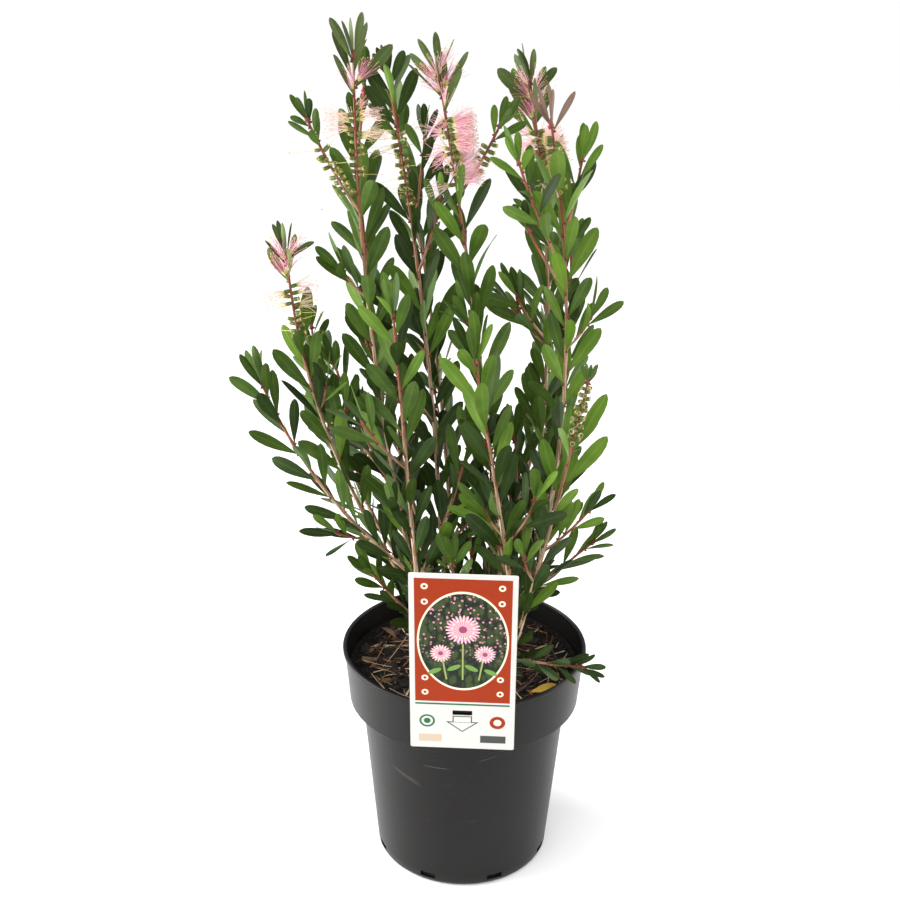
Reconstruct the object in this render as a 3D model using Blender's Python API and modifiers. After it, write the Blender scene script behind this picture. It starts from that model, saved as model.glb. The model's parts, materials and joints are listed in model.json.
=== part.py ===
"""Potted bottlebrush plant: pot, potting mix, hanging tag, stem, canes and leafy shoots.

Metres, +Z up. The origin is the centre of the pot's underside, +X runs to the right and
-Y faces the viewer. A short stem stands in the potting mix and canes leave it. Each cane is
a bare limb up to its base point, where a leafy shoot takes over. A shoot is one solid: a
stem, its twigs, its leaves and its flower spikes, all fused.
"""

import math
import random
from dataclasses import dataclass

import bmesh
import bpy
from mathutils import Matrix, Vector
from mathutils.bvhtree import BVHTree

# Gap that touching pieces keep
GAP = 0.0003

# Pot
POT_HEIGHT = 0.1902
RIM_RADIUS = 0.1000
RIM_DEPTH = 0.0028
COLLAR_TOP_RADIUS = 0.0985
COLLAR_FOOT_RADIUS = 0.0946
COLLAR_FOOT_HEIGHT = 0.1433
BODY_TOP_RADIUS = 0.0848
BODY_FOOT_RADIUS = 0.0717
FOOT_CORNER = 0.0045
POT_WALL = 0.0018
POT_FLOOR = 0.0030
POT_STEPS = 30
SLOT_COUNT = 8
SLOT_WIDTH = 0.013
SLOT_HEIGHT = 0.0045

# Potting mix
MIX_EDGE_HEIGHT = 0.1720
MIX_CROWN_HEIGHT = 0.1760
MIX_STEPS = 24

# Hanging tag
TAG_WIDTH = 0.0796
TAG_LENGTH = 0.1606
TAG_THICKNESS = 0.0008
TAG_CENTRE = Vector((-0.0010, -0.1060, 0.2311))
TAG_TILT = math.radians(7.0)
TAG_YAW = math.radians(-2.2)
TAG_SLOT_HEIGHT = 0.1830
TAG_SLOT_SIZE = (0.0150, 0.0048)
TONGUE_WIDTH = 0.0130
TONGUE_FOOT_HEIGHT = 0.1775

# Stem
STEM_FOOT_RADIUS = 0.0150
STEM_RADIUS = 0.0090
STEM_TOP_RADIUS = 0.0078
STEM_HEIGHT = 0.0230
STEM_FLARE_HEIGHT = 0.0090
STEM_STEPS = 16
FOOT_LEVELS = (0.0060, 0.0125, 0.0190)

# Canes
CANE_FOOT_RADIUS = 0.0023
CANE_RADIUS = 0.0018
SHOOT_TIP_RADIUS = 0.0009
TWIG_RADIUS = 0.0012
CANE_SEGMENTS = 5
SHOOT_SEGMENT_LENGTH = 0.030

# Leaves
LEAF_LENGTH = 0.045
LEAF_WIDTH = 0.0142
LEAF_THICKNESS = 0.0011
LEAF_WIDEST = 0.62
LEAF_PITCH = 0.0135
LEAF_TURN = math.radians(137.5)
LEAF_ANGLE = math.radians(38.0)
TUFT_ANGLE = math.radians(20.0)
TUFT_LENGTH = 0.035
TUFT_SHARE = 0.70
TUFT_CROWDING = 0.65
LEAF_TRIES = 5
CLEARANCE = 0.0004
FREE_FROM = 0.35

# Seeded twigs
TWIG_LENGTH = 0.048
TWIG_ANGLE = math.radians(36.0)

# Flower spikes
BRUSH_REACH = 0.0235
BRUSH_CORE = 0.0105
BRUSH_SIDES = 8
BRUSH_RINGS = 6
CAPSULE_RADIUS = 0.0029
CAPSULE_STAND = 0.0034
CAPSULE_PITCH = 0.0072


@dataclass(frozen=True)
class Spike:
    """Stretch of a stem that carries flowers, as shares of its length."""
    start: float
    end: float
    kind: str


@dataclass(frozen=True)
class Side:
    """Side shoot: where it leaves its stem, as a share, and where it ends."""
    share: float
    tip: tuple
    spikes: tuple = ()
    leafy: bool = True


@dataclass(frozen=True)
class Cane:
    """Cane with its leafy shoot.

    The shoot runs from base to tip, and bow moves its middle off the straight line. The
    bare limb runs from the stem to the base. foot_turn is the side of the stem, in degrees
    from +X, and foot_level picks a height on the stem, or its top. A shoot with no limb
    meets the stem itself.
    """
    name: str
    base: tuple
    tip: tuple
    bow: tuple
    foot_turn: float
    foot_level: int
    spikes: tuple = ()
    sides: tuple = ()
    twigs: int = 0
    limb: bool = True


CANES = (
    Cane("tall_left", (-0.044, -0.005, 0.267), (-0.082, -0.010, 0.662), (-0.010, 0.000, 0.000),
         200, 3, (Spike(0.76, 0.82, "capsules"), Spike(0.82, 0.935, "brush")),
         (Side(0.74, (-0.114, -0.030, 0.617), (Spike(0.20, 0.70, "capsules"),)),
          Side(0.84, (-0.078, 0.040, 0.638), (Spike(0.30, 0.90, "capsules"),), False)), 1),
    Cane("tall_middle", (0.028, 0.000, 0.265), (-0.024, 0.000, 0.653), (0.004, 0.000, 0.001),
         40, 3, (Spike(0.77, 0.93, "brush"),),
         (Side(0.77, (0.020, 0.010, 0.608), (Spike(0.30, 0.80, "capsules"),)),), 2),
    Cane("tall_right", (0.052, 0.030, 0.275), (0.042, 0.030, 0.647), (0.014, 0.004, 0.001),
         36, 2, (Spike(0.805, 0.935, "brush"),),
         (Side(0.44, (0.033, 0.030, 0.469)),), 1),
    Cane("right", (0.058, -0.010, 0.268), (0.056, -0.015, 0.613), (0.016, 0.001, -0.002),
         356, 2, (Spike(0.835, 0.975, "capsules"),),
         (Side(0.69, (0.033, -0.040, 0.591)),
          Side(0.66, (0.042, -0.025, 0.540), (), False),
          Side(0.76, (0.085, 0.005, 0.600))), 1),
    Cane("tall_inner", (-0.020, 0.014, 0.275), (-0.061, 0.020, 0.641), (0.006, 0.000, 0.001),
         120, 3, (Spike(0.775, 0.95, "capsules"),), (), 2),
    Cane("left_flower", (-0.060, -0.006, 0.268), (-0.136, 0.000, 0.515), (-0.015, 0.000, -0.003),
         188, 1, (Spike(0.72, 0.97, "capsules"),), (), 1),
    Cane("left_outer", (-0.047, -0.020, 0.266), (-0.154, -0.025, 0.420), (-0.009, 0.000, -0.008),
         208, 0, (), (Side(0.06, (-0.092, -0.038, 0.302)),), 1),
    Cane("front_bud", (0.036, -0.046, 0.258), (0.005, -0.045, 0.447), (0.001, -0.003, 0.000),
         286, 1, (), (), 1),
    Cane("right_fruit", (0.042, -0.045, 0.222), (0.087, -0.050, 0.435), (0.002, 0.000, 0.000),
         314, 0, (Spike(0.775, 0.99, "capsules"),),
         (Side(0.35, (0.096, -0.050, 0.328)),), 1),
    Cane("left_inner", (-0.038, -0.033, 0.262), (-0.055, -0.035, 0.478), (0.000, 0.000, 0.000),
         247, 1, (), (), 1),
    Cane("left_middle", (-0.038, 0.010, 0.275), (-0.104, 0.020, 0.421), (-0.002, 0.000, 0.000),
         163, 1, (), (), 1),
    Cane("low_right", (0.037, -0.028, 0.236), (0.098, -0.026, 0.294), (0.000, -0.002, 0.002),
         340, 0, (), (), 0),
    Cane("low_lying", (0.030, -0.050, 0.204), (0.091, -0.070, 0.209), (0.000, -0.002, 0.001),
         288, 0, (), (), 0),
    Cane("inner_cross", (-0.035, -0.025, 0.262), (0.002, 0.000, 0.369), (0.003, -0.002, 0.000),
         238, 0, (), (), 0),
    Cane("inner_right", (0.034, 0.026, 0.272), (0.038, 0.035, 0.357), (0.004, 0.000, 0.000),
         62, 1, (), (), 0),
    Cane("back_left", (-0.034, 0.034, 0.262), (-0.086, 0.050, 0.600), (-0.012, 0.008, 0.000),
         124, 1, (), (), 2),
    Cane("back_middle", (-0.012, 0.042, 0.262), (-0.056, 0.072, 0.600), (0.006, 0.012, 0.000),
         104, 2, (Spike(0.80, 0.94, "brush"),), (), 2),
    Cane("back_right", (0.034, 0.052, 0.262), (0.044, 0.086, 0.612), (0.016, 0.012, 0.000),
         78, 2, (Spike(0.78, 0.93, "brush"),), (), 2),
    Cane("back_far_left", (-0.050, 0.030, 0.240), (-0.128, 0.062, 0.455), (-0.014, 0.004, 0.000),
         153, 0, (), (), 2),
    Cane("back_far_right", (0.052, 0.032, 0.240), (0.078, 0.066, 0.520), (0.012, 0.006, 0.000),
         20, 0, (), (), 2),
    Cane("low_left", (-0.020, -0.012, 0.205), (-0.074, -0.020, 0.262), (-0.004, 0.000, 0.002),
         183, 0, (), (), 0, False),
    Cane("low_front", (-0.003, -0.022, 0.203), (-0.010, -0.060, 0.290), (0.000, -0.004, 0.000),
         264, 0, (), (), 0, False),
    Cane("low_back_left", (-0.016, 0.016, 0.203), (-0.060, 0.060, 0.300), (-0.004, 0.004, 0.000),
         129, 0, (), (), 0, False),
    Cane("low_back_right", (0.016, 0.018, 0.203), (0.062, 0.064, 0.300), (0.004, 0.004, 0.000),
         48, 0, (), (), 0, False),
)

# Colours from the plant as it stands, with roughness and metallic value
FINISHES = {
    "pot_plastic": ((0.035, 0.035, 0.037, 1.0), 0.45),
    "potting_mix": ((0.030, 0.020, 0.014, 1.0), 0.95),
    "tag_card": ((0.820, 0.810, 0.780, 1.0), 0.40),
    "bark": ((0.330, 0.215, 0.150, 1.0), 0.80),
    "foliage": ((0.085, 0.190, 0.040, 1.0), 0.60),
}


def clear_scene():
    """Remove the objects that the scene holds."""
    for item in list(bpy.data.objects):
        bpy.data.objects.remove(item, do_unlink=True)


def new_collection(name):
    """Add an empty collection to the scene."""
    collection = bpy.data.collections.new(name)
    bpy.context.scene.collection.children.link(collection)
    return collection


def make_material(name):
    """Make a Principled BSDF material from the finish of that name."""
    colour, roughness = FINISHES[name]
    material = bpy.data.materials.new(name)
    material.use_nodes = True
    surface = material.node_tree.nodes["Principled BSDF"]
    surface.inputs["Base Color"].default_value = colour
    surface.inputs["Roughness"].default_value = roughness
    surface.inputs["Metallic"].default_value = 0.0
    return material


def add_object(name, data, collection):
    """Link a new object that holds a mesh or curve."""
    item = bpy.data.objects.new(name, data)
    collection.objects.link(item)
    return item


def mesh_from(bm, name):
    """Turn a bmesh into mesh data and free it."""
    mesh = bpy.data.meshes.new(name)
    bm.to_mesh(mesh)
    bm.free()
    return mesh


def evaluated_mesh(item):
    """Copy an object's mesh with its modifiers applied."""
    graph = bpy.context.evaluated_depsgraph_get()
    return bpy.data.meshes.new_from_object(item.evaluated_get(graph))


def turned(name, profile, steps, collection):
    """Turn a profile of radius and height pairs about the Z axis."""
    mesh = bpy.data.meshes.new(name)
    points = [(radius, 0.0, height) for radius, height in profile]
    edges = [(index, index + 1) for index in range(len(points) - 1)]
    mesh.from_pydata(points, edges, [])
    item = add_object(name, mesh, collection)
    screw = item.modifiers.new("turn", "SCREW")
    screw.axis = "Z"
    screw.angle = math.tau
    screw.steps = steps
    screw.render_steps = steps
    screw.use_merge_vertices = True
    screw.merge_threshold = 0.00005
    screw.use_normal_calculate = False
    item.data = evaluated_mesh(item)
    item.modifiers.clear()
    return item


def cut(item, cutters):
    """Cut a collection of cutters out of an object."""
    boolean = item.modifiers.new("cut", "BOOLEAN")
    boolean.operation = "DIFFERENCE"
    boolean.operand_type = "COLLECTION"
    boolean.solver = "EXACT"
    boolean.collection = cutters
    item.data = evaluated_mesh(item)
    item.modifiers.clear()


def drop_scraps(mesh):
    """Keep the largest closed shell of a mesh, so sealed hollows fill and loose bits go."""
    bm = bmesh.new()
    bm.from_mesh(mesh)
    seen = set()
    shells = []
    for start in bm.verts:
        if start in seen:
            continue
        shell = []
        queue = [start]
        seen.add(start)
        while queue:
            vert = queue.pop()
            shell.append(vert)
            for edge in vert.link_edges:
                other = edge.other_vert(vert)
                if other not in seen:
                    seen.add(other)
                    queue.append(other)
        shells.append(shell)
    shells.sort(key=len)
    for shell in shells[:-1]:
        bmesh.ops.delete(bm, geom=shell, context="VERTS")
    bmesh.ops.triangulate(bm, faces=bm.faces)
    bm.to_mesh(mesh)
    bm.free()


def join(item, pieces):
    """Fuse a collection of pieces onto an object and remove them."""
    if not pieces.objects:
        return
    boolean = item.modifiers.new("join", "BOOLEAN")
    boolean.operation = "UNION"
    boolean.operand_type = "COLLECTION"
    boolean.solver = "EXACT"
    boolean.collection = pieces
    item.data = evaluated_mesh(item)
    item.modifiers.clear()
    for piece in list(pieces.objects):
        bpy.data.objects.remove(piece, do_unlink=True)
    drop_scraps(item.data)


def tree_of(item):
    """Search tree over an object's faces, in world space."""
    bm = bmesh.new()
    bm.from_mesh(item.data)
    bm.transform(item.matrix_world)
    tree = BVHTree.FromBMesh(bm)
    bm.free()
    return tree


@dataclass(frozen=True)
class Path:
    """Quadratic curve from start to end, drawn towards its control point."""
    start: Vector
    control: Vector
    end: Vector

    def point(self, share):
        """Point at a share of the curve."""
        rest = 1.0 - share
        return self.start * rest * rest + self.control * (2.0 * rest * share) + self.end * share * share

    def heading(self, share):
        """Unit direction of travel at a share of the curve."""
        rest = 1.0 - share
        return ((self.control - self.start) * rest + (self.end - self.control) * share).normalized()

    def length(self):
        """Length, measured over short chords."""
        steps = 16
        points = [self.point(step / steps) for step in range(steps + 1)]
        return sum((after - before).length for before, after in zip(points, points[1:]))


def bowed_path(start, end, bow):
    """Path whose middle stands off the straight line by bow."""
    start = Vector(start)
    end = Vector(end)
    return Path(start, (start + end) / 2.0 + Vector(bow) * 2.0, end)


def tube(name, path, radii, segments, bevel_resolution, collection):
    """Tapering limb along a path, as a closed mesh."""
    curve = bpy.data.curves.new(name, "CURVE")
    curve.dimensions = "3D"
    curve.bevel_depth = 1.0
    curve.bevel_resolution = bevel_resolution
    curve.use_fill_caps = True
    spline = curve.splines.new("POLY")
    spline.points.add(segments)
    for index, point in enumerate(spline.points):
        share = index / segments
        point.co = (*path.point(share), 1.0)
        point.radius = radii[0] + (radii[1] - radii[0]) * share
    guide = add_object(name + "_curve", curve, collection)
    mesh = evaluated_mesh(guide)
    bpy.data.objects.remove(guide, do_unlink=True)
    bm = bmesh.new()
    bm.from_mesh(mesh)
    bmesh.ops.remove_doubles(bm, verts=bm.verts, dist=0.00001)
    bm.to_mesh(mesh)
    bm.free()
    return add_object(name, mesh, collection)


def foot_point(cane):
    """Where a cane starts, clear of the stem's side or top."""
    ground = MIX_CROWN_HEIGHT + GAP
    turn = math.radians(cane.foot_turn)
    if cane.foot_level < len(FOOT_LEVELS):
        reach = STEM_RADIUS + CANE_FOOT_RADIUS + 2.0 * GAP
        height = ground + FOOT_LEVELS[cane.foot_level]
    else:
        reach = STEM_TOP_RADIUS / 2.0
        height = ground + STEM_HEIGHT + CANE_FOOT_RADIUS
    return Vector((reach * math.cos(turn), reach * math.sin(turn), height))


def shoot_path(cane):
    """Path of a cane's leafy shoot."""
    start = Vector(cane.base) if cane.limb else foot_point(cane)
    return bowed_path(start, cane.tip, cane.bow)


def limb_path(cane):
    """Path of a cane's bare limb, which runs on into its shoot."""
    foot = foot_point(cane)
    shoot = shoot_path(cane)
    heading = shoot.heading(0.0)
    end = shoot.start - heading * (GAP * 1.5)
    return Path(foot, end - heading * (end - foot).length * 0.45, end)


def build_pot(collection, cutters):
    """Thin pot with a deep collar, a rolled rim and drain slots round its foot."""
    body_slope = (BODY_TOP_RADIUS - BODY_FOOT_RADIUS) / COLLAR_FOOT_HEIGHT
    inner_foot = BODY_FOOT_RADIUS + body_slope * POT_FLOOR - POT_WALL
    shelf = COLLAR_FOOT_HEIGHT + POT_WALL
    rim_inner = COLLAR_TOP_RADIUS - POT_WALL
    profile = [
        (0.0, POT_FLOOR),
        (inner_foot, POT_FLOOR),
        (BODY_TOP_RADIUS - POT_WALL, shelf),
        (COLLAR_FOOT_RADIUS - POT_WALL, shelf),
        (rim_inner, POT_HEIGHT - RIM_DEPTH),
        (rim_inner, POT_HEIGHT),
        (RIM_RADIUS, POT_HEIGHT),
        (RIM_RADIUS, POT_HEIGHT - RIM_DEPTH),
        (COLLAR_TOP_RADIUS, POT_HEIGHT - RIM_DEPTH),
        (COLLAR_FOOT_RADIUS, COLLAR_FOOT_HEIGHT),
        (BODY_TOP_RADIUS, COLLAR_FOOT_HEIGHT),
        (BODY_FOOT_RADIUS + body_slope * FOOT_CORNER, FOOT_CORNER),
        (BODY_FOOT_RADIUS - FOOT_CORNER * 0.3, FOOT_CORNER * 0.3),
        (BODY_FOOT_RADIUS - FOOT_CORNER, 0.0),
        (0.0, 0.0),
    ]
    pot = turned("pot", profile, POT_STEPS, collection)
    for index in range(SLOT_COUNT):
        turn = math.tau * (index + 0.5) / SLOT_COUNT
        bm = bmesh.new()
        bmesh.ops.create_cube(bm, size=1.0)
        place = (Matrix.Rotation(turn, 4, "Z")
                 @ Matrix.Translation((BODY_FOOT_RADIUS, 0.0, POT_FLOOR + SLOT_HEIGHT))
                 @ Matrix.Diagonal((0.012, SLOT_WIDTH, SLOT_HEIGHT, 1.0)))
        bm.transform(place)
        cutter = add_object(f"drain_cutter_{index + 1}", mesh_from(bm, "drain_cutter"), cutters)
        cutter.hide_render = True
        cutter.display_type = "WIRE"
    cut(pot, cutters)
    return pot


def build_potting_mix(collection):
    """Potting mix that fills the pot, with a low crown round the stem."""
    body_slope = (BODY_TOP_RADIUS - BODY_FOOT_RADIUS) / COLLAR_FOOT_HEIGHT
    collar_slope = (COLLAR_TOP_RADIUS - COLLAR_FOOT_RADIUS) / (POT_HEIGHT - COLLAR_FOOT_HEIGHT)
    clear = POT_WALL + 2.0 * GAP
    floor = POT_FLOOR + GAP
    shelf = COLLAR_FOOT_HEIGHT + POT_WALL + GAP
    edge = COLLAR_FOOT_RADIUS + collar_slope * (MIX_EDGE_HEIGHT - COLLAR_FOOT_HEIGHT) - clear
    profile = [
        (0.0, MIX_CROWN_HEIGHT),
        (STEM_FOOT_RADIUS * 1.6, MIX_CROWN_HEIGHT),
        (edge, MIX_EDGE_HEIGHT),
        (COLLAR_FOOT_RADIUS - clear, shelf),
        (BODY_TOP_RADIUS - clear, shelf),
        (BODY_FOOT_RADIUS + body_slope * floor - clear, floor),
        (0.0, floor),
    ]
    return turned("potting_mix", profile, MIX_STEPS, collection)


def block(name, low, high, collection):
    """Box between two corners."""
    bm = bmesh.new()
    bmesh.ops.create_cube(bm, size=1.0)
    size = Vector(high) - Vector(low)
    centre = (Vector(high) + Vector(low)) / 2.0
    bm.transform(Matrix.Translation(centre) @ Matrix.Diagonal((*size, 1.0)))
    return add_object(name, mesh_from(bm, name), collection)


def build_tag(collection, cutters):
    """Tall card that hangs outside the rim by a tongue folded over it."""
    half = Vector((TAG_WIDTH, TAG_THICKNESS, TAG_LENGTH)) / 2.0
    tag = block("plant_tag", -half, half, collection)
    lean = Matrix.Rotation(TAG_YAW, 4, "Z") @ Matrix.Rotation(TAG_TILT, 4, "X")
    tag.data.transform(Matrix.Translation(TAG_CENTRE) @ lean)

    slot_width, slot_height = TAG_SLOT_SIZE
    slot_low = (TAG_CENTRE.x - slot_width / 2.0, -RIM_RADIUS - 0.005, TAG_SLOT_HEIGHT)
    slot_high = (TAG_CENTRE.x + slot_width / 2.0, -RIM_RADIUS + 0.005, TAG_SLOT_HEIGHT + slot_height)
    slot = block("tag_slot_cutter", slot_low, slot_high, cutters)
    slot.hide_render = True
    slot.display_type = "WIRE"
    cut(tag, cutters)

    pieces = new_collection("tongue_pieces")
    left = TAG_CENTRE.x - TONGUE_WIDTH / 2.0
    right = TAG_CENTRE.x + TONGUE_WIDTH / 2.0
    inner = -COLLAR_TOP_RADIUS + POT_WALL + 0.0032
    bottom = POT_HEIGHT + 2.0 * GAP
    top = bottom + TAG_THICKNESS
    block("tongue_top", (left, -RIM_RADIUS - 0.0011, bottom), (right, inner, top), pieces)
    block("tongue_drop", (left, inner - TAG_THICKNESS, TONGUE_FOOT_HEIGHT),
          (right, inner + 0.00001, top + 0.00001), pieces)
    join(tag, pieces)
    bpy.data.collections.remove(pieces)
    return tag


def build_stem(collection):
    """Short woody stem, flared where it leaves the potting mix."""
    ground = MIX_CROWN_HEIGHT + GAP
    profile = [
        (0.0, ground + STEM_HEIGHT),
        (STEM_TOP_RADIUS, ground + STEM_HEIGHT),
        (STEM_RADIUS, ground + STEM_HEIGHT * 0.75),
        (STEM_RADIUS, ground + STEM_FLARE_HEIGHT * 0.6),
    ]
    for step in range(1, 4):
        bend = step / 3.0 * math.pi / 2.0
        flare = (STEM_FOOT_RADIUS - STEM_RADIUS) * (1.0 - math.cos(bend))
        height = STEM_FLARE_HEIGHT * 0.6 * (1.0 - math.sin(bend))
        profile.append((STEM_RADIUS + flare, ground + height))
    profile.append((0.0, ground))
    return turned("stem", profile, STEM_STEPS, collection)


def leaf_shape(root, heading, across, length, width, thickness, start=0.0):
    """Closed eight-sided blade: a four by two sphere drawn out to the leaf's outline."""
    normal = heading.cross(across)
    bm = bmesh.new()
    bmesh.ops.create_uvsphere(bm, u_segments=4, v_segments=2, radius=1.0)
    widest = max(LEAF_WIDEST, start + 0.1)
    for vert in bm.verts:
        if abs(vert.co.z) > 0.5:
            share = 1.0 if vert.co.z > 0.0 else start
            vert.co = root + heading * (length * share)
        elif abs(vert.co.x) > 0.5:
            side = math.copysign(width / 2.0, vert.co.x)
            vert.co = root + heading * (length * widest) + across * side
        else:
            side = math.copysign(thickness / 2.0, vert.co.y)
            vert.co = root + heading * (length * widest * 0.7) + normal * side
    bmesh.ops.recalc_face_normals(bm, faces=bm.faces)
    return bm


def capsule_shape(centre):
    """Small seed capsule, as an eight-faced bead."""
    bm = bmesh.new()
    bmesh.ops.create_uvsphere(bm, u_segments=4, v_segments=2, radius=CAPSULE_RADIUS)
    bm.transform(Matrix.Translation(centre))
    return bm


def brush_shape(path, spike):
    """Brush of stamens: a round body whose points stand in and out by turns."""
    bm = bmesh.new()
    bmesh.ops.create_uvsphere(bm, u_segments=BRUSH_SIDES, v_segments=BRUSH_RINGS, radius=1.0)
    for vert in bm.verts:
        ring = round((math.asin(max(-1.0, min(1.0, vert.co.z))) / math.pi + 0.5) * BRUSH_RINGS)
        turn = math.atan2(vert.co.y, vert.co.x)
        column = round(turn / math.tau * BRUSH_SIDES)
        share = spike.start + (spike.end - spike.start) * ring / BRUSH_RINGS
        centre = path.point(share)
        if ring in (0, BRUSH_RINGS):
            vert.co = centre
            continue
        reach = BRUSH_REACH if (ring + column) % 2 else BRUSH_CORE
        if ring in (1, BRUSH_RINGS - 1):
            reach *= 0.8
        heading = path.heading(share)
        out = heading.orthogonal().normalized()
        out.rotate(Matrix.Rotation(turn, 3, heading))
        vert.co = centre + out * reach
    bmesh.ops.recalc_face_normals(bm, faces=bm.faces)
    return bm


class Shoot:
    """Leafy shoot in the making: its stems, spikes and leaves, fused at the end."""

    def __init__(self, cane, seed, collection):
        self.name = "shoot_" + cane.name
        self.rng = random.Random(seed)
        self.pieces = new_collection("pieces_" + cane.name)
        self.leaf_trees = []
        self.main = shoot_path(cane)
        self.stretches = []
        base_radius = CANE_RADIUS if self.main.length() > TWIG_LENGTH * 2.0 else TWIG_RADIUS
        self.item = self.add_stem(self.name, self.main, base_radius, collection)
        self.stretches.append((self.main, cane.spikes, 0.02))
        for index, side in enumerate(cane.sides):
            start = self.main.point(side.share)
            lift = Vector((0.0, 0.0, -(Vector(side.tip) - start).length * 0.05))
            path = bowed_path(start, side.tip, lift)
            self.add_stem(f"side_{index}", path, TWIG_RADIUS, self.pieces)
            if side.leafy:
                self.stretches.append((path, side.spikes, 0.25))
            else:
                self.stretches.append((path, side.spikes, 1.0))
        for index in range(cane.twigs):
            self.add_twig(index, cane.twigs)
        for path, spikes, _ in self.stretches:
            for spike in spikes:
                self.add_spike(path, spike)
        self.stem_trees = [tree_of(self.item)]
        self.stem_trees += [tree_of(piece) for piece in self.pieces.objects]

    def add_stem(self, name, path, radius, collection):
        """Add a four-sided stem along a path."""
        segments = max(2, round(path.length() / SHOOT_SEGMENT_LENGTH))
        return tube(name, path, (radius, SHOOT_TIP_RADIUS), segments, 0, collection)

    def add_twig(self, index, count):
        """Add one seeded twig in the lower half of the shoot."""
        share = 0.10 + 0.45 * (index + self.rng.uniform(0.2, 0.8)) / count
        heading = self.main.heading(share)
        out = heading.orthogonal().normalized()
        out.rotate(Matrix.Rotation(self.rng.uniform(0.0, math.tau), 3, heading))
        aim = heading * math.cos(TWIG_ANGLE) + out * math.sin(TWIG_ANGLE)
        start = self.main.point(share)
        length = TWIG_LENGTH * self.rng.uniform(0.7, 1.1)
        path = bowed_path(start, start + aim * length, out * length * 0.06)
        self.add_stem(f"twig_{index}", path, TWIG_RADIUS, self.pieces)
        self.stretches.append((path, (), 0.35))

    def add_spike(self, path, spike):
        """Add a brush of stamens, or rings of seed capsules."""
        if spike.kind == "brush":
            add_object("brush", mesh_from(brush_shape(path, spike), "brush"), self.pieces)
            return
        stretch = (spike.end - spike.start) * path.length()
        count = max(2, round(stretch / CAPSULE_PITCH))
        for index in range(count):
            share = spike.start + (spike.end - spike.start) * (index + 0.5) / count
            heading = path.heading(share)
            out = heading.orthogonal().normalized()
            out.rotate(Matrix.Rotation(index * LEAF_TURN, 3, heading))
            centre = path.point(share) + out * CAPSULE_STAND
            add_object("capsule", mesh_from(capsule_shape(centre), "capsule"), self.pieces)

    def grow_leaves(self, neighbours):
        """Set leaves in a spiral along every stem, and skip those that touch anything."""
        for path, spikes, first in self.stretches:
            length = path.length()
            turn = self.rng.uniform(0.0, math.tau)
            share = first + LEAF_PITCH / length / 2.0
            while share < 1.0:
                tuft = max(0.0, 1.0 - (1.0 - share) * length / TUFT_LENGTH)
                if not any(spike.start < share < spike.end for spike in spikes):
                    self.try_leaf(path, share, turn, tuft, neighbours)
                turn += LEAF_TURN
                share += LEAF_PITCH / length * (1.0 - TUFT_CROWDING * tuft)

    def try_leaf(self, path, share, turn, tuft, neighbours):
        """Add one leaf, turned a little until it is clear of its neighbours."""
        heading = path.heading(share)
        root = path.point(share)
        side = heading.orthogonal().normalized()
        angle = LEAF_ANGLE + (TUFT_ANGLE - LEAF_ANGLE) * tuft
        scale = self.rng.uniform(0.86, 1.08) * (1.0 + (TUFT_SHARE - 1.0) * tuft)
        length = LEAF_LENGTH * scale
        width = LEAF_WIDTH * scale
        for attempt in range(LEAF_TRIES):
            spread = angle * self.rng.uniform(0.75, 1.25)
            out = side.copy()
            offset = 0.35 * attempt * (-1.0) ** attempt
            out.rotate(Matrix.Rotation(turn + offset, 3, heading))
            aim = (heading * math.cos(spread) + out * math.sin(spread)).normalized()
            across = aim.cross(heading).normalized()
            across.rotate(Matrix.Rotation(self.rng.uniform(-0.6, 0.6), 3, aim))
            if not self.is_clear(root, aim, across, length, width, neighbours):
                continue
            blade = leaf_shape(root, aim, across, length, width, LEAF_THICKNESS)
            self.leaf_trees.append(BVHTree.FromBMesh(blade))
            add_object("leaf", mesh_from(blade, "leaf"), self.pieces)
            return

    def is_clear(self, root, aim, across, length, width, neighbours):
        """Whether a leaf clears the other nodes, and its outer part its own shoot."""
        more = 2.0 * CLEARANCE
        sizes = (length + more, width + more, LEAF_THICKNESS + more)
        whole = leaf_shape(root, aim, across, *sizes)
        lowest = min(vert.co.z for vert in whole.verts)
        tree = BVHTree.FromBMesh(whole)
        whole.free()
        if lowest < MIX_CROWN_HEIGHT + 2.0 * CLEARANCE:
            return False
        if any(tree.overlap(other) for other in neighbours):
            return False
        free = leaf_shape(root, aim, across, *sizes, FREE_FROM)
        tree = BVHTree.FromBMesh(free)
        free.free()
        return not any(tree.overlap(other) for other in self.leaf_trees + self.stem_trees)

    def finish(self):
        """Fuse the shoot into one solid."""
        join(self.item, self.pieces)
        bpy.data.collections.remove(self.pieces)
        return self.item


def build_shoots(fixed, collection):
    """Build every leafy shoot, each clear of the fixed pieces and of the others."""
    shoots = [Shoot(cane, 101 + index, collection) for index, cane in enumerate(CANES)]
    fixed_trees = [tree_of(item) for item in fixed]
    finished = {}
    for shoot in shoots:
        neighbours = list(fixed_trees)
        for other in shoots:
            if other is shoot:
                continue
            neighbours += [finished[other.name]] if other.name in finished else other.stem_trees
        shoot.grow_leaves(neighbours)
        finished[shoot.name] = tree_of(shoot.finish())
    return [shoot.item for shoot in shoots]


def dress(items, material):
    """Give pieces one material and smooth shading with sharp folds."""
    for item in items:
        item.data.materials.clear()
        item.data.materials.append(material)
        item.data.shade_smooth()
        item.data.set_sharp_from_angle(angle=math.radians(40.0))


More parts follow.
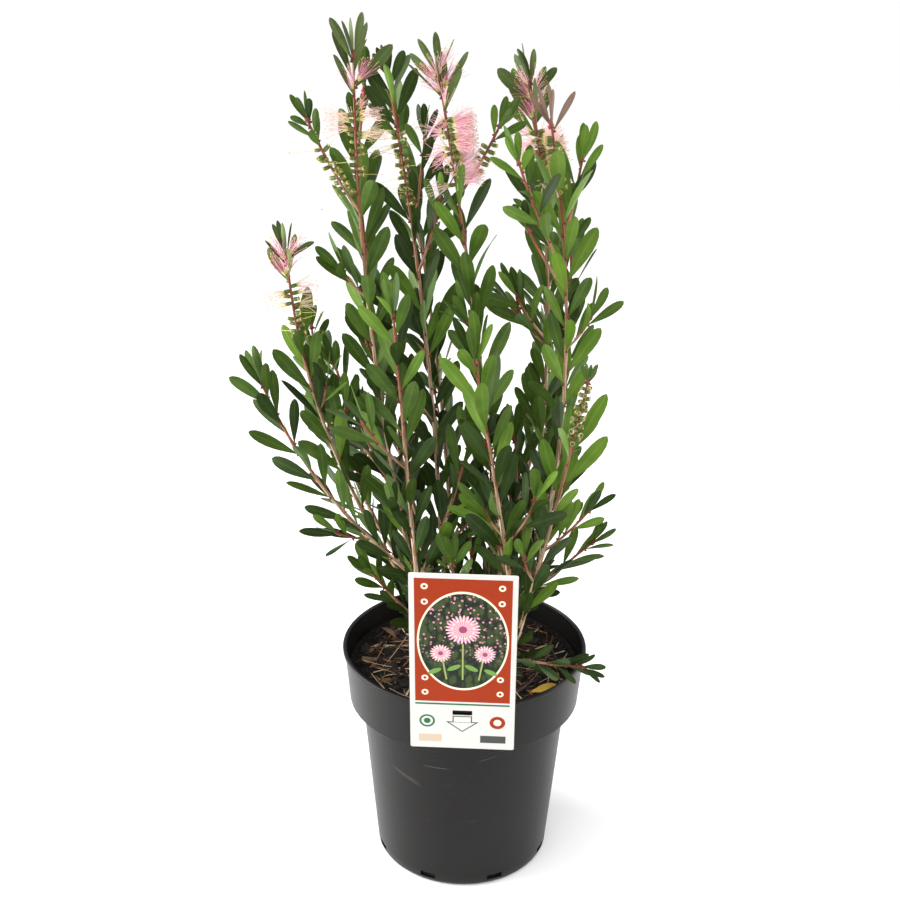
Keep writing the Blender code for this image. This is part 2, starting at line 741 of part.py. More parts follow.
def main():
    """Build the plant in its pot."""
    clear_scene()
    parts = new_collection("potted_bottlebrush")
    pot_cutters = new_collection("pot_cutters")
    tag_cutters = new_collection("tag_cutters")

    pot = build_pot(parts, pot_cutters)
    mix = build_potting_mix(parts)
    tag = build_tag(parts, tag_cutters)
    stem = build_stem(parts)
    limbs = []
    for cane in CANES:
        if cane.limb:
            radii = (CANE_FOOT_RADIUS, CANE_RADIUS)
            limbs.append(tube("cane_" + cane.name, limb_path(cane), radii, CANE_SEGMENTS, 1, parts))
    shoots = build_shoots([pot, mix, tag, stem] + limbs, parts)

    dress([pot], make_material("pot_plastic"))
    dress([mix], make_material("potting_mix"))
    dress([tag], make_material("tag_card"))
    dress([stem] + limbs, make_material("bark"))
    dress(shoots, make_material("foliage"))


main()
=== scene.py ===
"""Looks of the potted bottlebrush plant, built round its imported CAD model.

Metres, +Z up and -Y towards the viewer. The canes and leafy shoots come from the same table
and the same growth rule as the CAD source. Here they are carried on to finer twigs, leaves
of real size, flower cups, stamens, styles and buds.
"""

import itertools
import json
import logging
import math
import random
from dataclasses import dataclass
from enum import Enum
from typing import Callable, Optional, Sequence, Union

import bpy
import numpy as np
from mathutils import Matrix, Vector
from mathutils.bvhtree import BVHTree

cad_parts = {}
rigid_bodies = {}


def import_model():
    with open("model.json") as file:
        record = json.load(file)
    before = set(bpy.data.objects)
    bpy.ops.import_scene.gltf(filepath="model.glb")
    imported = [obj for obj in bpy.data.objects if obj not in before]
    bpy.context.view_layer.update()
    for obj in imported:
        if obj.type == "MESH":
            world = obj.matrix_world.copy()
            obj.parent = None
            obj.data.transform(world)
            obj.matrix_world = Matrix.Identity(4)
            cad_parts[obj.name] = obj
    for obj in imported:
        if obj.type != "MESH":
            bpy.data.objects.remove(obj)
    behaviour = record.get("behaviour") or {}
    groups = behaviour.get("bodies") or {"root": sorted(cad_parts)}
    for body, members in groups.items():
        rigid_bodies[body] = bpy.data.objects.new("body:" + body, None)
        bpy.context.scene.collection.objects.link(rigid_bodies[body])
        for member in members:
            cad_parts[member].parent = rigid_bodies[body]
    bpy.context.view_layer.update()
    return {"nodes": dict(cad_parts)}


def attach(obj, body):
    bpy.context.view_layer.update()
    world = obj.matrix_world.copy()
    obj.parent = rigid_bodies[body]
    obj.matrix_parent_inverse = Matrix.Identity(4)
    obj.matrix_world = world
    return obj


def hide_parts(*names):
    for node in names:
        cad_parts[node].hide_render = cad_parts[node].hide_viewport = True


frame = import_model()

LOG = logging.getLogger("potted_bottlebrush")
MILLIMETRE = 0.001
GOLDEN_TURN = math.radians(137.5)

Colour = tuple[float, float, float, float]
Point = tuple[float, float, float]
Value = Union["Signal", float]
Basis = tuple[Vector, Vector, Vector]
Item = bpy.types.Object


def between(ends: Sequence[float], share: Union[float, np.ndarray]) -> Union[float, np.ndarray]:
    """Number, or numbers, at a share of the way from the first end to the second."""
    return ends[0] + (ends[1] - ends[0]) * share


def heading_from(bearing: float, rise: float = 0.0) -> Vector:
    """Level direction at a bearing from +X in radians, with a rise added."""
    return Vector((math.cos(bearing), math.sin(bearing), rise))


def beside(axis: Vector, turn: float) -> Vector:
    """Unit direction square to an axis, turned about it by an angle in radians."""
    side = axis.orthogonal().normalized()
    side.rotate(Matrix.Rotation(turn, 3, axis))
    return side


def swung(axis: Vector, side: Vector, angle: float) -> Vector:
    """Direction that leaves an axis towards a side by an angle in radians."""
    return axis * math.cos(angle) + side * math.sin(angle)


def tint(red: int, green: int, blue: int) -> Colour:
    """Linear colour of a display colour given from 0 to 255."""
    shades = [shade / 255.0 for shade in (red, green, blue)]
    linear = [s / 12.92 if s <= 0.04045 else ((s + 0.055) / 1.055) ** 2.4 for s in shades]
    return (linear[0], linear[1], linear[2], 1.0)


class LeafTone(Enum):
    """Greens that leaves are dealt, and the tints of young and fallen ones."""
    FRESH = "leaf_fresh"
    MID = "leaf_mid"
    DEEP = "leaf_deep"
    GREY = "leaf_grey"
    BRONZE = "leaf_bronze"
    FALLEN = "leaf_fallen"


TIP_WIDTHS = {LeafTone.BRONZE: 0.62, LeafTone.GREY: 0.82}


class Bloom(Enum):
    """How far the flowers of a spike have come."""
    FULL = "full"
    BLUSH = "blush"
    FADED = "faded"
    SPENT = "spent"
    CUPS = "cups"
    BUDS = "buds"
    FRUIT = "fruit"


class Part(Enum):
    """Parts of a pattern, each of which takes a finish of its own."""
    BODY = 0
    LIP = 1
    HEART = 2
    FOOT = 3
    TIP = 4


# The table of canes, as in the CAD source, with the tones and blooms that only show here


@dataclass(frozen=True)
class Spike:
    """Stretch of a stem that carries flowers, as shares of its length."""
    start: float
    end: float
    bloom: Bloom


@dataclass(frozen=True)
class Side:
    """Side shoot: where it leaves its stem, as a share, where it ends, and its leaves' scale."""
    share: float
    tip: Point
    spikes: tuple[Spike, ...] = ()
    leafy: bool = True
    vigour: float = 1.0


@dataclass(frozen=True)
class Cane:
    """Cane with its leafy shoot, as in the CAD source.

    The shoot runs from base to tip, and bow moves its middle off the straight line. tone and
    tip_tone are the greens of its leaves, vigour scales them all and tuft those at the tip,
    and axils is the number of flowers that open beside the leaves above its spike.
    """
    name: str
    base: Point
    tip: Point
    bow: Point
    foot_turn: float
    foot_level: int
    spikes: tuple[Spike, ...] = ()
    sides: tuple[Side, ...] = ()
    twigs: int = 0
    limb: bool = True
    tone: LeafTone = LeafTone.MID
    tip_tone: LeafTone = LeafTone.MID
    vigour: float = 1.0
    tuft: float = 0.74
    axils: int = 0


CANES = (
    Cane("tall_left", (-0.044, -0.005, 0.267), (-0.083, -0.010, 0.658), (-0.010, 0.0, 0.0),
         200, 3, (Spike(0.780, 0.846, Bloom.CUPS), Spike(0.846, 0.912, Bloom.FADED)),
         (Side(0.72, (-0.114, -0.030, 0.617), (Spike(0.20, 0.76, Bloom.CUPS),), vigour=0.62),
          Side(0.82, (-0.078, 0.020, 0.632), (Spike(0.55, 0.96, Bloom.BUDS),), False)),
         tip_tone=LeafTone.GREY, axils=2),
    Cane("tall_middle", (0.028, 0.0, 0.265), (-0.024, 0.0, 0.646), (0.004, 0.0, 0.001),
         40, 3, (Spike(0.790, 0.918, Bloom.FULL),),
         (Side(0.77, (0.020, 0.010, 0.608), (Spike(0.30, 0.40, Bloom.BUDS), Spike(0.40, 0.80, Bloom.CUPS)),
               vigour=0.74),),
         1, tip_tone=LeafTone.GREY, tuft=0.66, axils=7),
    Cane("tall_right", (0.052, 0.030, 0.275), (0.042, 0.030, 0.637), (0.014, 0.004, 0.001),
         36, 2, (Spike(0.780, 0.902, Bloom.BLUSH),),
         (Side(0.44, (0.033, 0.030, 0.469)),), 1, tip_tone=LeafTone.GREY, tuft=0.68, axils=6),
    Cane("right", (0.058, -0.010, 0.268), (0.056, -0.015, 0.613), (0.016, 0.001, -0.002),
         356, 2, (Spike(0.865, 0.980, Bloom.CUPS),),
         (Side(0.69, (0.033, -0.040, 0.591), vigour=0.85),
          Side(0.66, (0.042, -0.025, 0.540), leafy=False),
          Side(0.76, (0.080, 0.002, 0.586), vigour=0.9)),
         tone=LeafTone.FRESH, tip_tone=LeafTone.BRONZE, tuft=0.66),
    Cane("tall_inner", (-0.020, 0.014, 0.275), (-0.061, 0.020, 0.643), (0.006, 0.0, 0.001),
         120, 3, (Spike(0.740, 0.892, Bloom.SPENT),),
         (Side(0.60, (-0.022, 0.004, 0.556), vigour=0.8), Side(0.68, (-0.034, 0.014, 0.598), vigour=0.8)), 1,
         tone=LeafTone.DEEP, tip_tone=LeafTone.DEEP, tuft=0.56),
    Cane("left_flower", (-0.060, -0.006, 0.268), (-0.136, 0.0, 0.515), (-0.015, 0.0, -0.003),
         188, 1, (Spike(0.730, 0.830, Bloom.SPENT), Spike(0.830, 0.905, Bloom.FADED)),
         twigs=1, tip_tone=LeafTone.GREY, tuft=0.56, axils=5),
    Cane("left_outer", (-0.047, -0.020, 0.266), (-0.154, -0.025, 0.420), (-0.009, 0.0, -0.008),
         208, 0),
    Cane("front_bud", (0.036, -0.046, 0.258), (0.005, -0.045, 0.447), (0.001, -0.003, 0.0),
         286, 1, (), (Side(0.06, (0.022, -0.040, 0.306), vigour=0.75),), 1,
         tone=LeafTone.FRESH, tip_tone=LeafTone.FRESH, vigour=1.12),
    Cane("right_fruit", (0.042, -0.045, 0.222), (0.087, -0.050, 0.435), (0.002, 0.0, 0.0),
         314, 0, (Spike(0.775, 0.985, Bloom.FRUIT),),
         (Side(0.35, (0.092, -0.050, 0.332), vigour=0.85),),
         tone=LeafTone.FRESH, vigour=1.1, tuft=0.30),
    Cane("left_inner", (-0.038, -0.033, 0.262), (-0.055, -0.035, 0.478), (0.0, 0.0, 0.0),
         247, 1, twigs=1),
    Cane("left_middle", (-0.038, 0.010, 0.275), (-0.104, 0.020, 0.421), (-0.002, 0.0, 0.0),
         163, 1, twigs=1, tone=LeafTone.DEEP),
    Cane("low_right", (0.037, -0.028, 0.236), (0.098, -0.026, 0.294), (0.0, -0.002, 0.002),
         340, 0, tone=LeafTone.DEEP, vigour=0.85),
    Cane("low_lying", (0.030, -0.050, 0.204), (0.091, -0.070, 0.209), (0.0, -0.002, 0.001),
         288, 0, vigour=0.86),
    Cane("inner_cross", (-0.035, -0.025, 0.262), (0.002, 0.0, 0.369), (0.003, -0.002, 0.0),
         238, 0, (), (Side(0.12, (0.012, -0.012, 0.318), vigour=0.7),), 1, tone=LeafTone.DEEP),
    Cane("inner_right", (0.034, 0.026, 0.272), (0.038, 0.035, 0.357), (0.004, 0.0, 0.0),
         62, 1, (), (Side(0.08, (0.016, 0.020, 0.332), vigour=0.7),), 2, tone=LeafTone.DEEP),
    Cane("back_left", (-0.034, 0.034, 0.262), (-0.086, 0.050, 0.600), (-0.012, 0.008, 0.0),
         124, 1, twigs=1),
    Cane("back_middle", (-0.012, 0.042, 0.262), (-0.056, 0.072, 0.600), (0.006, 0.012, 0.0),
         104, 2, (Spike(0.80, 0.94, Bloom.CUPS),), twigs=1),
    Cane("back_right", (0.034, 0.052, 0.262), (0.044, 0.086, 0.612), (0.028, 0.012, 0.0),
         78, 2, (Spike(0.78, 0.93, Bloom.FULL),)),
    Cane("back_far_left", (-0.050, 0.030, 0.240), (-0.126, 0.062, 0.440), (-0.014, 0.004, 0.0),
         153, 0, twigs=1, vigour=0.9, tuft=0.55),
    Cane("back_far_right", (0.052, 0.032, 0.240), (0.078, 0.066, 0.520), (0.012, 0.006, 0.0),
         20, 0, vigour=0.85),
    Cane("low_left", (-0.020, -0.012, 0.205), (-0.074, -0.020, 0.262), (-0.004, 0.0, 0.002),
         183, 0, limb=False, tone=LeafTone.DEEP),
    Cane("low_front", (-0.003, -0.022, 0.203), (-0.010, -0.060, 0.290), (0.0, -0.004, 0.0),
         264, 0, twigs=1, limb=False, tone=LeafTone.DEEP),
    Cane("low_back_left", (-0.016, 0.016, 0.203), (-0.060, 0.060, 0.300), (-0.004, 0.004, 0.0),
         129, 0, twigs=1, limb=False, tone=LeafTone.DEEP),
    Cane("low_back_right", (0.016, 0.018, 0.203), (0.062, 0.064, 0.300), (0.004, 0.004, 0.0),
         48, 0, (), (Side(0.08, (0.022, 0.016, 0.288), vigour=0.9),
                     Side(0.04, (0.003, 0.014, 0.290), vigour=0.9)),
         3, False, LeafTone.DEEP),
)


# Node trees


def operation(name: str, turned: bool = False) -> Callable[..., "Signal"]:
    """Method that adds a Math node of that name, its values in turned order where asked."""
    def method(self: "Signal", *others: Value) -> "Signal":
        """Result of the Math node."""
        return self.recipe.math(name, *((*others, self) if turned else (self, *others)))
    return method


class Signal:
    """Number from a node tree that takes part in Python arithmetic."""

    __add__ = __radd__ = operation("ADD")
    __mul__ = __rmul__ = operation("MULTIPLY")
    __sub__ = operation("SUBTRACT")
    __rsub__ = operation("SUBTRACT", True)
    __truediv__ = operation("DIVIDE")
    __abs__ = operation("ABSOLUTE")
    power = operation("POWER")
    most = operation("MAXIMUM")
    least = operation("MINIMUM")

    def __init__(self, recipe: "Recipe", socket: bpy.types.NodeSocket) -> None:
        """Wrap an output socket of a recipe's tree."""
        self.recipe = recipe
        self.socket = socket

    def ramp(self, low: float, high: float) -> "Signal":
        """Smooth step from 0 at low to 1 at high, or falling where low is the larger."""
        sockets = {"Value": self, "From Min": min(low, high), "From Max": max(low, high)}
        if low > high:
            sockets.update({"To Min": 1.0, "To Max": 0.0})
        return self.recipe.take("Result", "ShaderNodeMapRange", {"interpolation_type": "SMOOTHSTEP"}, sockets)


class Recipe:
    """Node tree of one finish."""

    def __init__(self, name: str) -> None:
        """Start a material of that name."""
        self.material = bpy.data.materials.new(name)
        self.material.use_nodes = True
        self.tree = self.material.node_tree
        self.surface = self.tree.nodes["Principled BSDF"]

    def add(self, kind: str, settings: Optional[dict] = None,
            sockets: Optional[dict] = None) -> bpy.types.Node:
        """Add a node.

        Args:
            kind: Type name of the node.
            settings: Its settings by name, set first.
            sockets: Values or signals for its inputs, by name or number.

        Returns:
            The node.
        """
        node = self.tree.nodes.new(kind)
        for name, value in (settings or {}).items():
            setattr(node, name, value)
        for name, value in (sockets or {}).items():
            self.feed(node.inputs[name], value)
        return node

    def take(self, output: Union[str, int], kind: str, settings: Optional[dict] = None,
             sockets: Optional[dict] = None) -> Signal:
        """Add a node, as add does, and return one of its outputs."""
        return Signal(self, self.add(kind, settings, sockets).outputs[output])

    def feed(self, socket: bpy.types.NodeSocket, value: object) -> None:
        """Link a signal to a socket, or set the socket to a value."""
        if isinstance(value, Signal):
            self.tree.links.new(value.socket, socket)
        else:
            socket.default_value = value

    def math(self, name: str, *values: Value) -> Signal:
        """Result of a Math node."""
        return self.take(0, "ShaderNodeMath", {"operation": name}, dict(enumerate(values)))

    def mix(self, share: Value, first: object, second: object) -> Signal:
        """Colour between two colours, the second where share is 1."""
        return self.take(2, "ShaderNodeMix", {"data_type": "RGBA"}, {0: share, 6: first, 7: second})

    def ground(self) -> Signal:
        """Object coordinates."""
        return self.take("Object", "ShaderNodeTexCoord")

    def attribute(self, name: str, output: str) -> Signal:
        """Output of the mesh attribute of that name."""
        return self.take(output, "ShaderNodeAttribute", {"attribute_name": name})

    def stretched(self, place: Signal, *factors: float) -> Signal:
        """Coordinates multiplied by a factor along each axis."""
        return self.take("Vector", "ShaderNodeVectorMath", {"operation": "MULTIPLY"}, {0: place, 1: factors})

    def split(self, place: Signal) -> list[Signal]:
        """The three numbers of a vector."""
        node = self.add("ShaderNodeSeparateXYZ", None, {0: place})
        return [Signal(self, output) for output in node.outputs]

    def noise(self, place: Signal, scale: float = 1.0, detail: float = 2.0) -> Signal:
        """Cloudy noise from 0 to 1."""
        sockets = {"Vector": place, "Scale": scale, "Detail": detail}
        return self.take("Fac", "ShaderNodeTexNoise", None, sockets)

    def cells(self, place: Signal, scale: float = 1.0) -> Signal:
        """Distance to the heart of each cell of a pattern."""
        return self.take("Distance", "ShaderNodeTexVoronoi", None, {"Vector": place, "Scale": scale})

    def relief(self, height: Signal, depth: float, strength: float = 1.0) -> None:
        """Feed the surface's normal from a height of 0 to 1, with its depth in metres."""
        sockets = {"Height": height, "Distance": depth, "Strength": strength}
        self.feed(self.surface.inputs["Normal"], self.take("Normal", "ShaderNodeBump", None, sockets))

    def dress(self, **values: object) -> bpy.types.Material:
        """Set inputs of the surface by name, with _ for a space, and return the material."""
        for name, value in values.items():
            self.feed(self.surface.inputs[name.replace("_", " ")], value)
        return self.material


# Finishes


@dataclass(frozen=True)
class PlainFinish:
    """Finish of small things, whose tone wanders from one place to the next.

    wander is the share by which it wanders, grain the number of clouds a metre and relief
    the depth of the surface's grain in metres.
    """
    name: str
    colour: tuple[int, int, int]
    roughness: float = 0.5
    wander: float = 0.15
    grain: float = 160.0
    relief: float = 0.0001
    specular: float = 0.5

    def make(self) -> bpy.types.Material:
        """Material of this finish."""
        recipe = Recipe(self.name)
        place = recipe.ground()
        base = tint(*self.colour)
        cloud = recipe.noise(place, self.grain, 3.0).ramp(0.3, 0.7)
        dark, light = (tuple(min(1.0, shade * (1.0 + way * self.wander)) for shade in base[:3]) + (1.0,)
                       for way in (-1.0, 1.0))
        fine = recipe.noise(place, self.grain * 9.0)
        recipe.relief(fine, self.relief)
        roughness = fine * 0.12 + (self.roughness - 0.06)
        return recipe.dress(Base_Color=recipe.mix(cloud, dark, light), Roughness=roughness,
                            Specular_IOR_Level=self.specular)


@dataclass(frozen=True)
class LeafFinish:
    """Leathery leaf with a pale rib, side veins, a thin margin and a reddish stalk.

    It reads the attribute blade: the share of the length, the share of the half width from
    the rib to the margin, and a number drawn for the leaf.
    """
    name: str
    colour: tuple[int, int, int]
    light: tuple[int, int, int]
    rib: tuple[int, int, int]
    margin: tuple[int, int, int]
    reddening: float = 0.35

    def make(self) -> bpy.types.Material:
        """Material of this finish."""
        recipe = Recipe(self.name)
        along, across, draw = recipe.split(recipe.attribute("blade", "Vector"))
        place = recipe.ground()
        cloud = recipe.noise(place, 70.0).ramp(0.3, 0.7)
        fleck = recipe.noise(place, 900.0, 3.0)
        veins = recipe.math("SINE", (along - across * 0.11) * 125.0).ramp(0.2, 1.0)
        rib = across.ramp(0.20, 0.12)
        green = recipe.mix(cloud * 0.4 + draw * 0.6, tint(*self.colour), tint(*self.light))
        green = recipe.mix(veins * 0.06 + rib * 0.12, green, tint(*self.rib))
        green = recipe.mix(across.ramp(0.86, 0.99) * self.reddening, green, tint(*self.margin))
        green = recipe.mix(along.ramp(0.13, 0.03), green, tint(126, 74, 42))
        recipe.relief(veins * 0.4 + rib + fleck * 0.5, 0.00012, 0.6)
        return recipe.dress(Base_Color=green, Roughness=fleck * 0.16 + 0.38, Specular_IOR_Level=0.16)


@dataclass(frozen=True)
class BarkFinish:
    """Stringy bark, pale and peeling on old wood and rusty brown on young wood."""
    name: str = "bark_stringy"

    def make(self) -> bpy.types.Material:
        """Material of this finish."""
        recipe = Recipe(self.name)
        grain = recipe.attribute("grain", "Vector")
        youth = recipe.attribute("youth", "Fac")
        strings = recipe.noise(recipe.stretched(grain, 2.2, 2.2, 60.0), detail=4.0)
        patches = recipe.noise(recipe.stretched(grain, 0.8, 0.8, 90.0)).ramp(0.42, 0.62)
        flecks = recipe.noise(recipe.stretched(grain, 5.0, 5.0, 260.0))
        old = recipe.mix(strings.ramp(0.36, 0.60), tint(128, 100, 72), tint(202, 182, 152))
        old = recipe.mix(patches * 0.55, old, tint(138, 88, 54))
        height = recipe.split(recipe.ground())[2]
        old = recipe.mix(height.ramp(0.192, 0.176) * 0.6, old, tint(84, 64, 48))
        young = recipe.mix(strings.ramp(0.35, 0.65), tint(98, 46, 24), tint(152, 88, 50))
        young = recipe.mix(flecks.ramp(0.55, 0.75) * 0.6, young, tint(104, 40, 30))
        recipe.relief(strings * 0.7 + flecks * 0.3, 0.0005, 0.8)
        return recipe.dress(Base_Color=recipe.mix(youth, old, young), Roughness=0.62 + strings * 0.25)


@dataclass(frozen=True)
class PotFinish:
    """Charcoal moulded plastic with a satin sheen, faint scuffs and dust."""
    name: str = "pot_charcoal_plastic"

    def make(self) -> bpy.types.Material:
        """Material of this finish."""
        recipe = Recipe(self.name)
        place = recipe.ground()
        across, depth, height = recipe.split(place)
        cloud = recipe.noise(place, 9.0, 3.0)
        grain = recipe.noise(place, 1900.0)
        rubbed = recipe.noise(recipe.stretched(place, 60.0, 60.0, 900.0), detail=3.0).ramp(0.66, 0.80)
        front = depth.ramp(0.0, -0.02)
        strokes, fade = 0.0, 0.004
        for left, right, low, rise, width in ((-0.056, -0.036, 0.1085, -0.30, 0.0005),
                                              (-0.050, -0.034, 0.1052, -0.34, 0.0004),
                                              (-0.030, -0.012, 0.1215, 0.02, 0.0005),
                                              (0.014, 0.026, 0.1300, 0.25, 0.0004)):
            line = abs(height - (across - left) * rise - low).ramp(width, 0.0)
            stroke = line * across.ramp(left - fade, left + fade) * across.ramp(right + fade, right - fade)
            strokes = stroke * front + strokes
        dust = recipe.noise(place, 240.0, 4.0).ramp(0.62, 0.85) * 0.25
        pale = (strokes * 0.24 + rubbed * 0.07 + dust * 0.2).least(1.0)
        base = recipe.mix(cloud.ramp(0.35, 0.65), tint(14, 12, 11), tint(18, 16, 15))
        recipe.relief(grain, 0.00006, 0.5)
        return recipe.dress(Base_Color=recipe.mix(pale, base, tint(150, 148, 144)),
                            Roughness=0.34 + cloud * 0.08 + pale * 0.3, Specular_IOR_Level=0.20)


@dataclass(frozen=True)
class SoilFinish:
    """Dark composted bark mix, from near black to brown."""
    name: str = "potting_mix_crumb"

    def make(self) -> bpy.types.Material:
        """Material of this finish."""
        recipe = Recipe(self.name)
        place = recipe.ground()
        lumps = recipe.noise(place, 260.0, 5.0)
        crumbs = recipe.cells(place, 520.0)
        dark = recipe.mix(lumps.ramp(0.3, 0.7), tint(7, 6, 5), tint(26, 21, 16))
        brown = recipe.mix(recipe.noise(place, 120.0).ramp(0.55, 0.75) * 0.6, dark, tint(52, 37, 26))
        recipe.relief(lumps * 0.6 + crumbs * 0.6, 0.0018, 1.0)
        return recipe.dress(Base_Color=brown, Roughness=0.96 - lumps * 0.1, Specular_IOR_Level=0.25)


@dataclass(frozen=True)
class FloorFinish:
    """Plain pale floor."""
    name: str = "floor_pale"

    def make(self) -> bpy.types.Material:
        """Material of this finish."""
        recipe = Recipe(self.name)
        cloud = recipe.noise(recipe.ground(), 3.0)
        pale = recipe.mix(cloud, tint(253, 253, 253), tint(255, 255, 255))
        return recipe.dress(Base_Color=pale, Roughness=0.7, Specular_IOR_Level=0.2)


@dataclass(frozen=True)
class CardFinish:
    """Printed face of the tag, drawn in millimetres from its lower left corner.

    A rust panel holds a green oval with pink pompoms, over a white foot with plain dots and a dark arrow
    outline, which is painted shadow under the edges of a die-cut flap.
    """
    width: float
    height: float
    name: str = "tag_card_face"

    def make(self) -> bpy.types.Material:
        """Material of this finish."""
        recipe = Recipe(self.name)
        across, up, _ = recipe.split(recipe.attribute("card", "Vector"))
        x = across * self.width
        y = up * self.height
        white, rust, cream, green = (tint(*shade) for shade in (
            (208, 206, 202), (152, 46, 4), (240, 226, 200), (38, 104, 62)))
        middle = self.width / 2.0
        margin, soft = 4.0, 0.12

        def disc(cx: float, cy: float, radius: float) -> Signal:
            """Round dot."""
            return self.reach(x, y, cx, cy).ramp(radius + soft, radius - soft)

        def bar(left: float, right: float, low: float, high: float) -> Signal:
            """Upright block between four edges."""
            outside = (abs(x - (left + right) / 2.0) - (right - left) / 2.0).most(
                abs(y - (low + high) / 2.0) - (high - low) / 2.0)
            return outside.ramp(soft, -soft)

        prints_and_shadow = [(bar(margin, self.width - margin, 45.0, self.height - margin), rust)]
        for cx in (11.5, self.width - 11.5):
            for cy in (53.5, 67.0, 136.0, 149.5):
                prints_and_shadow += [(disc(cx, cy, 2.6), cream), (disc(cx, cy, 1.2), rust)]
        oval = self.reach(x, (y - 101.0) * 0.76 + 101.0, middle, 101.0)
        place = recipe.ground()
        leafage = recipe.cells(recipe.stretched(place, 260.0, 260.0, 130.0)).ramp(0.25, 0.75)
        field = recipe.mix(leafage, tint(58, 74, 40), tint(26, 34, 24))
        specks = recipe.cells(recipe.stretched(place, 330.0, 330.0, 300.0)).ramp(0.34, 0.22)
        field = recipe.mix(specks * (y - 70.0).ramp(6.0, 40.0), field, tint(206, 142, 158))
        prints_and_shadow += [(oval.ramp(34.1, 33.9), cream), (oval.ramp(32.7, 32.5), field)]
        for aside, lean, top in ((0.0, 0.0, 99.0), (-14.0, -0.16, 84.0), (14.0, 0.16, 84.0)):
            stem = abs(x - (middle + aside) - (y - 78.0) * lean).ramp(0.75, 0.45)
            prints_and_shadow.append((stem * bar(0.0, self.width, 66.0, top), tint(150, 168, 96)))
        for aside, cy in ((6.5, 77.0), (21.0, 73.5)):
            for hand in (1.0, -1.0):
                cx = middle - aside * hand
                along = (x - cx) * (0.9 * hand) + (y - cy) * 0.436
                aslant = (y - cy) * (0.9 * hand) - (x - cx) * 0.436
                leaf = (along * along / 30.0 + aslant * aslant / 4.0).ramp(1.1, 0.9)
                prints_and_shadow.append((leaf, tint(110, 150, 74)))
        for aside, cy, radius, petals in ((0.0, 112.0, 13.0, 26.0), (-16.5, 90.0, 8.0, 20.0),
                                          (16.5, 90.0, 8.0, 20.0)):
            prints_and_shadow += self.pompom(recipe, (x, y), (middle + aside, cy), radius, petals)
        prints_and_shadow.append((bar(margin, self.width - margin, 41.8, 43.4), green))
        for cx, radius, fill_colour in ((13.0, 6.0, green), (13.0, 4.4, white), (13.0, 2.6, green),
                                (self.width - 13.0, 6.0, rust), (self.width - 13.0, 3.0, cream)):
            prints_and_shadow.append((disc(cx, 26.0, radius), fill_colour))
        prints_and_shadow += [(bar(6.5, 24.0, 6.0, 13.0), tint(198, 180, 158)),
                   (bar(self.width - 26.0, self.width - 6.5, 6.0, 13.0), tint(70, 72, 70))]
        # Painted shadow: the dark arrow outline stands for the shadow under the edges of a die-cut flap.
        head = (abs(x - middle) * 0.62 - (y - 16.5) * 0.78).most(y - 25.5)
        shaft = (abs(x - middle) - 7.0).most(abs(y - 28.0) - 3.0)
        prints_and_shadow.append((abs(head.least(shaft)).ramp(0.55, 0.30), tint(60, 58, 56)))
        face: object = white
        for shape, fill_colour in prints_and_shadow:
            face = recipe.mix(shape, face, fill_colour)
        fibre = recipe.noise(place, 700.0)
        recipe.relief(fibre, 0.00002, 0.4)
        return recipe.dress(Base_Color=face, Roughness=0.42 + fibre * 0.1, Specular_IOR_Level=0.16)

    @staticmethod
    def reach(x: Signal, y: Signal, cx: float, cy: float) -> Signal:
        """Distance from a centre."""
        return ((x - cx) * (x - cx) + (y - cy) * (y - cy)).power(0.5)

    def pompom(self, recipe: Recipe, place: tuple[Signal, Signal], centre: tuple[float, float],
               radius: float, petals: float) -> list[tuple[Signal, object]]:
        """Shapes and inks of a round tuft of pink rays, from the lowest up."""
        reach = self.reach(*place, *centre)
        turn = recipe.math("ARCTAN2", place[1] - centre[1], place[0] - centre[0])
        ray = recipe.math("SINE", turn * petals) * 0.5 + 0.5
        edge = radius * 0.80 + ray * (radius * 0.20)
        pink = recipe.mix(ray.ramp(0.2, 0.9), tint(206, 124, 150), tint(244, 194, 208))
        dots = recipe.math("SINE", turn * petals * 0.5) * 0.5 + 0.5
        ring = abs(reach - radius * 0.62).ramp(0.7, 0.3) * dots.ramp(0.45, 0.6)
        return [((edge - reach).ramp(-0.15, 0.15), pink), (ring, tint(246, 232, 150)),
                (reach.ramp(radius * 0.26, radius * 0.22), tint(150, 74, 96))]


PLAIN_FINISHES = tuple(PlainFinish(*row) for row in (
    ("leaf_scar", (104, 42, 30), 0.6, 0.3),
    ("cup_green", (84, 102, 38), 0.5, 0.3, 420.0),
    ("cup_olive", (106, 92, 44), 0.5, 0.35, 420.0),
    ("cup_lip", (168, 160, 82), 0.5, 0.2),
    ("cup_heart", (140, 128, 62), 0.55, 0.3),
    ("fruit_lip", (176, 158, 108), 0.55, 0.2),
    ("fruit_heart", (112, 100, 52), 0.6, 0.3),
    ("stamen_pink", (243, 186, 199), 0.55, 0.06),
    ("stamen_blush", (240, 198, 206), 0.55, 0.05),
    ("stamen_shell", (240, 208, 202), 0.55, 0.05),
    ("stamen_cream", (234, 212, 182), 0.6, 0.07),
    ("stamen_rose", (222, 140, 164), 0.55, 0.1),
    ("stamen_foot", (224, 208, 150), 0.55, 0.08),
    ("anther_yellow", (224, 208, 88), 0.7, 0.15),
    ("anther_buff", (214, 176, 140), 0.7, 0.2),
    ("anther_dark", (92, 78, 60), 0.7, 0.25),
    ("style_straw", (206, 196, 116), 0.55, 0.1),
    ("bud_russet", (112, 50, 36), 0.55, 0.3),
    ("bud_rose", (206, 92, 100), 0.5, 0.15),
    ("chip_black", (17, 14, 12), 0.9, 0.4, 400.0, 0.0005),
    ("chip_brown", (46, 33, 24), 0.9, 0.4, 400.0, 0.0005),
    ("chip_tan", (118, 90, 64), 0.85, 0.3, 400.0, 0.0005),
    ("straw_orange", (156, 102, 60), 0.7, 0.3, 300.0, 0.0002),
    ("straw_pale", (196, 174, 144), 0.7, 0.25, 300.0, 0.0002),
    ("straw_brown", (88, 64, 46), 0.75, 0.3, 300.0, 0.0002),
    ("card_back", (238, 237, 233), 0.45, 0.03),
))

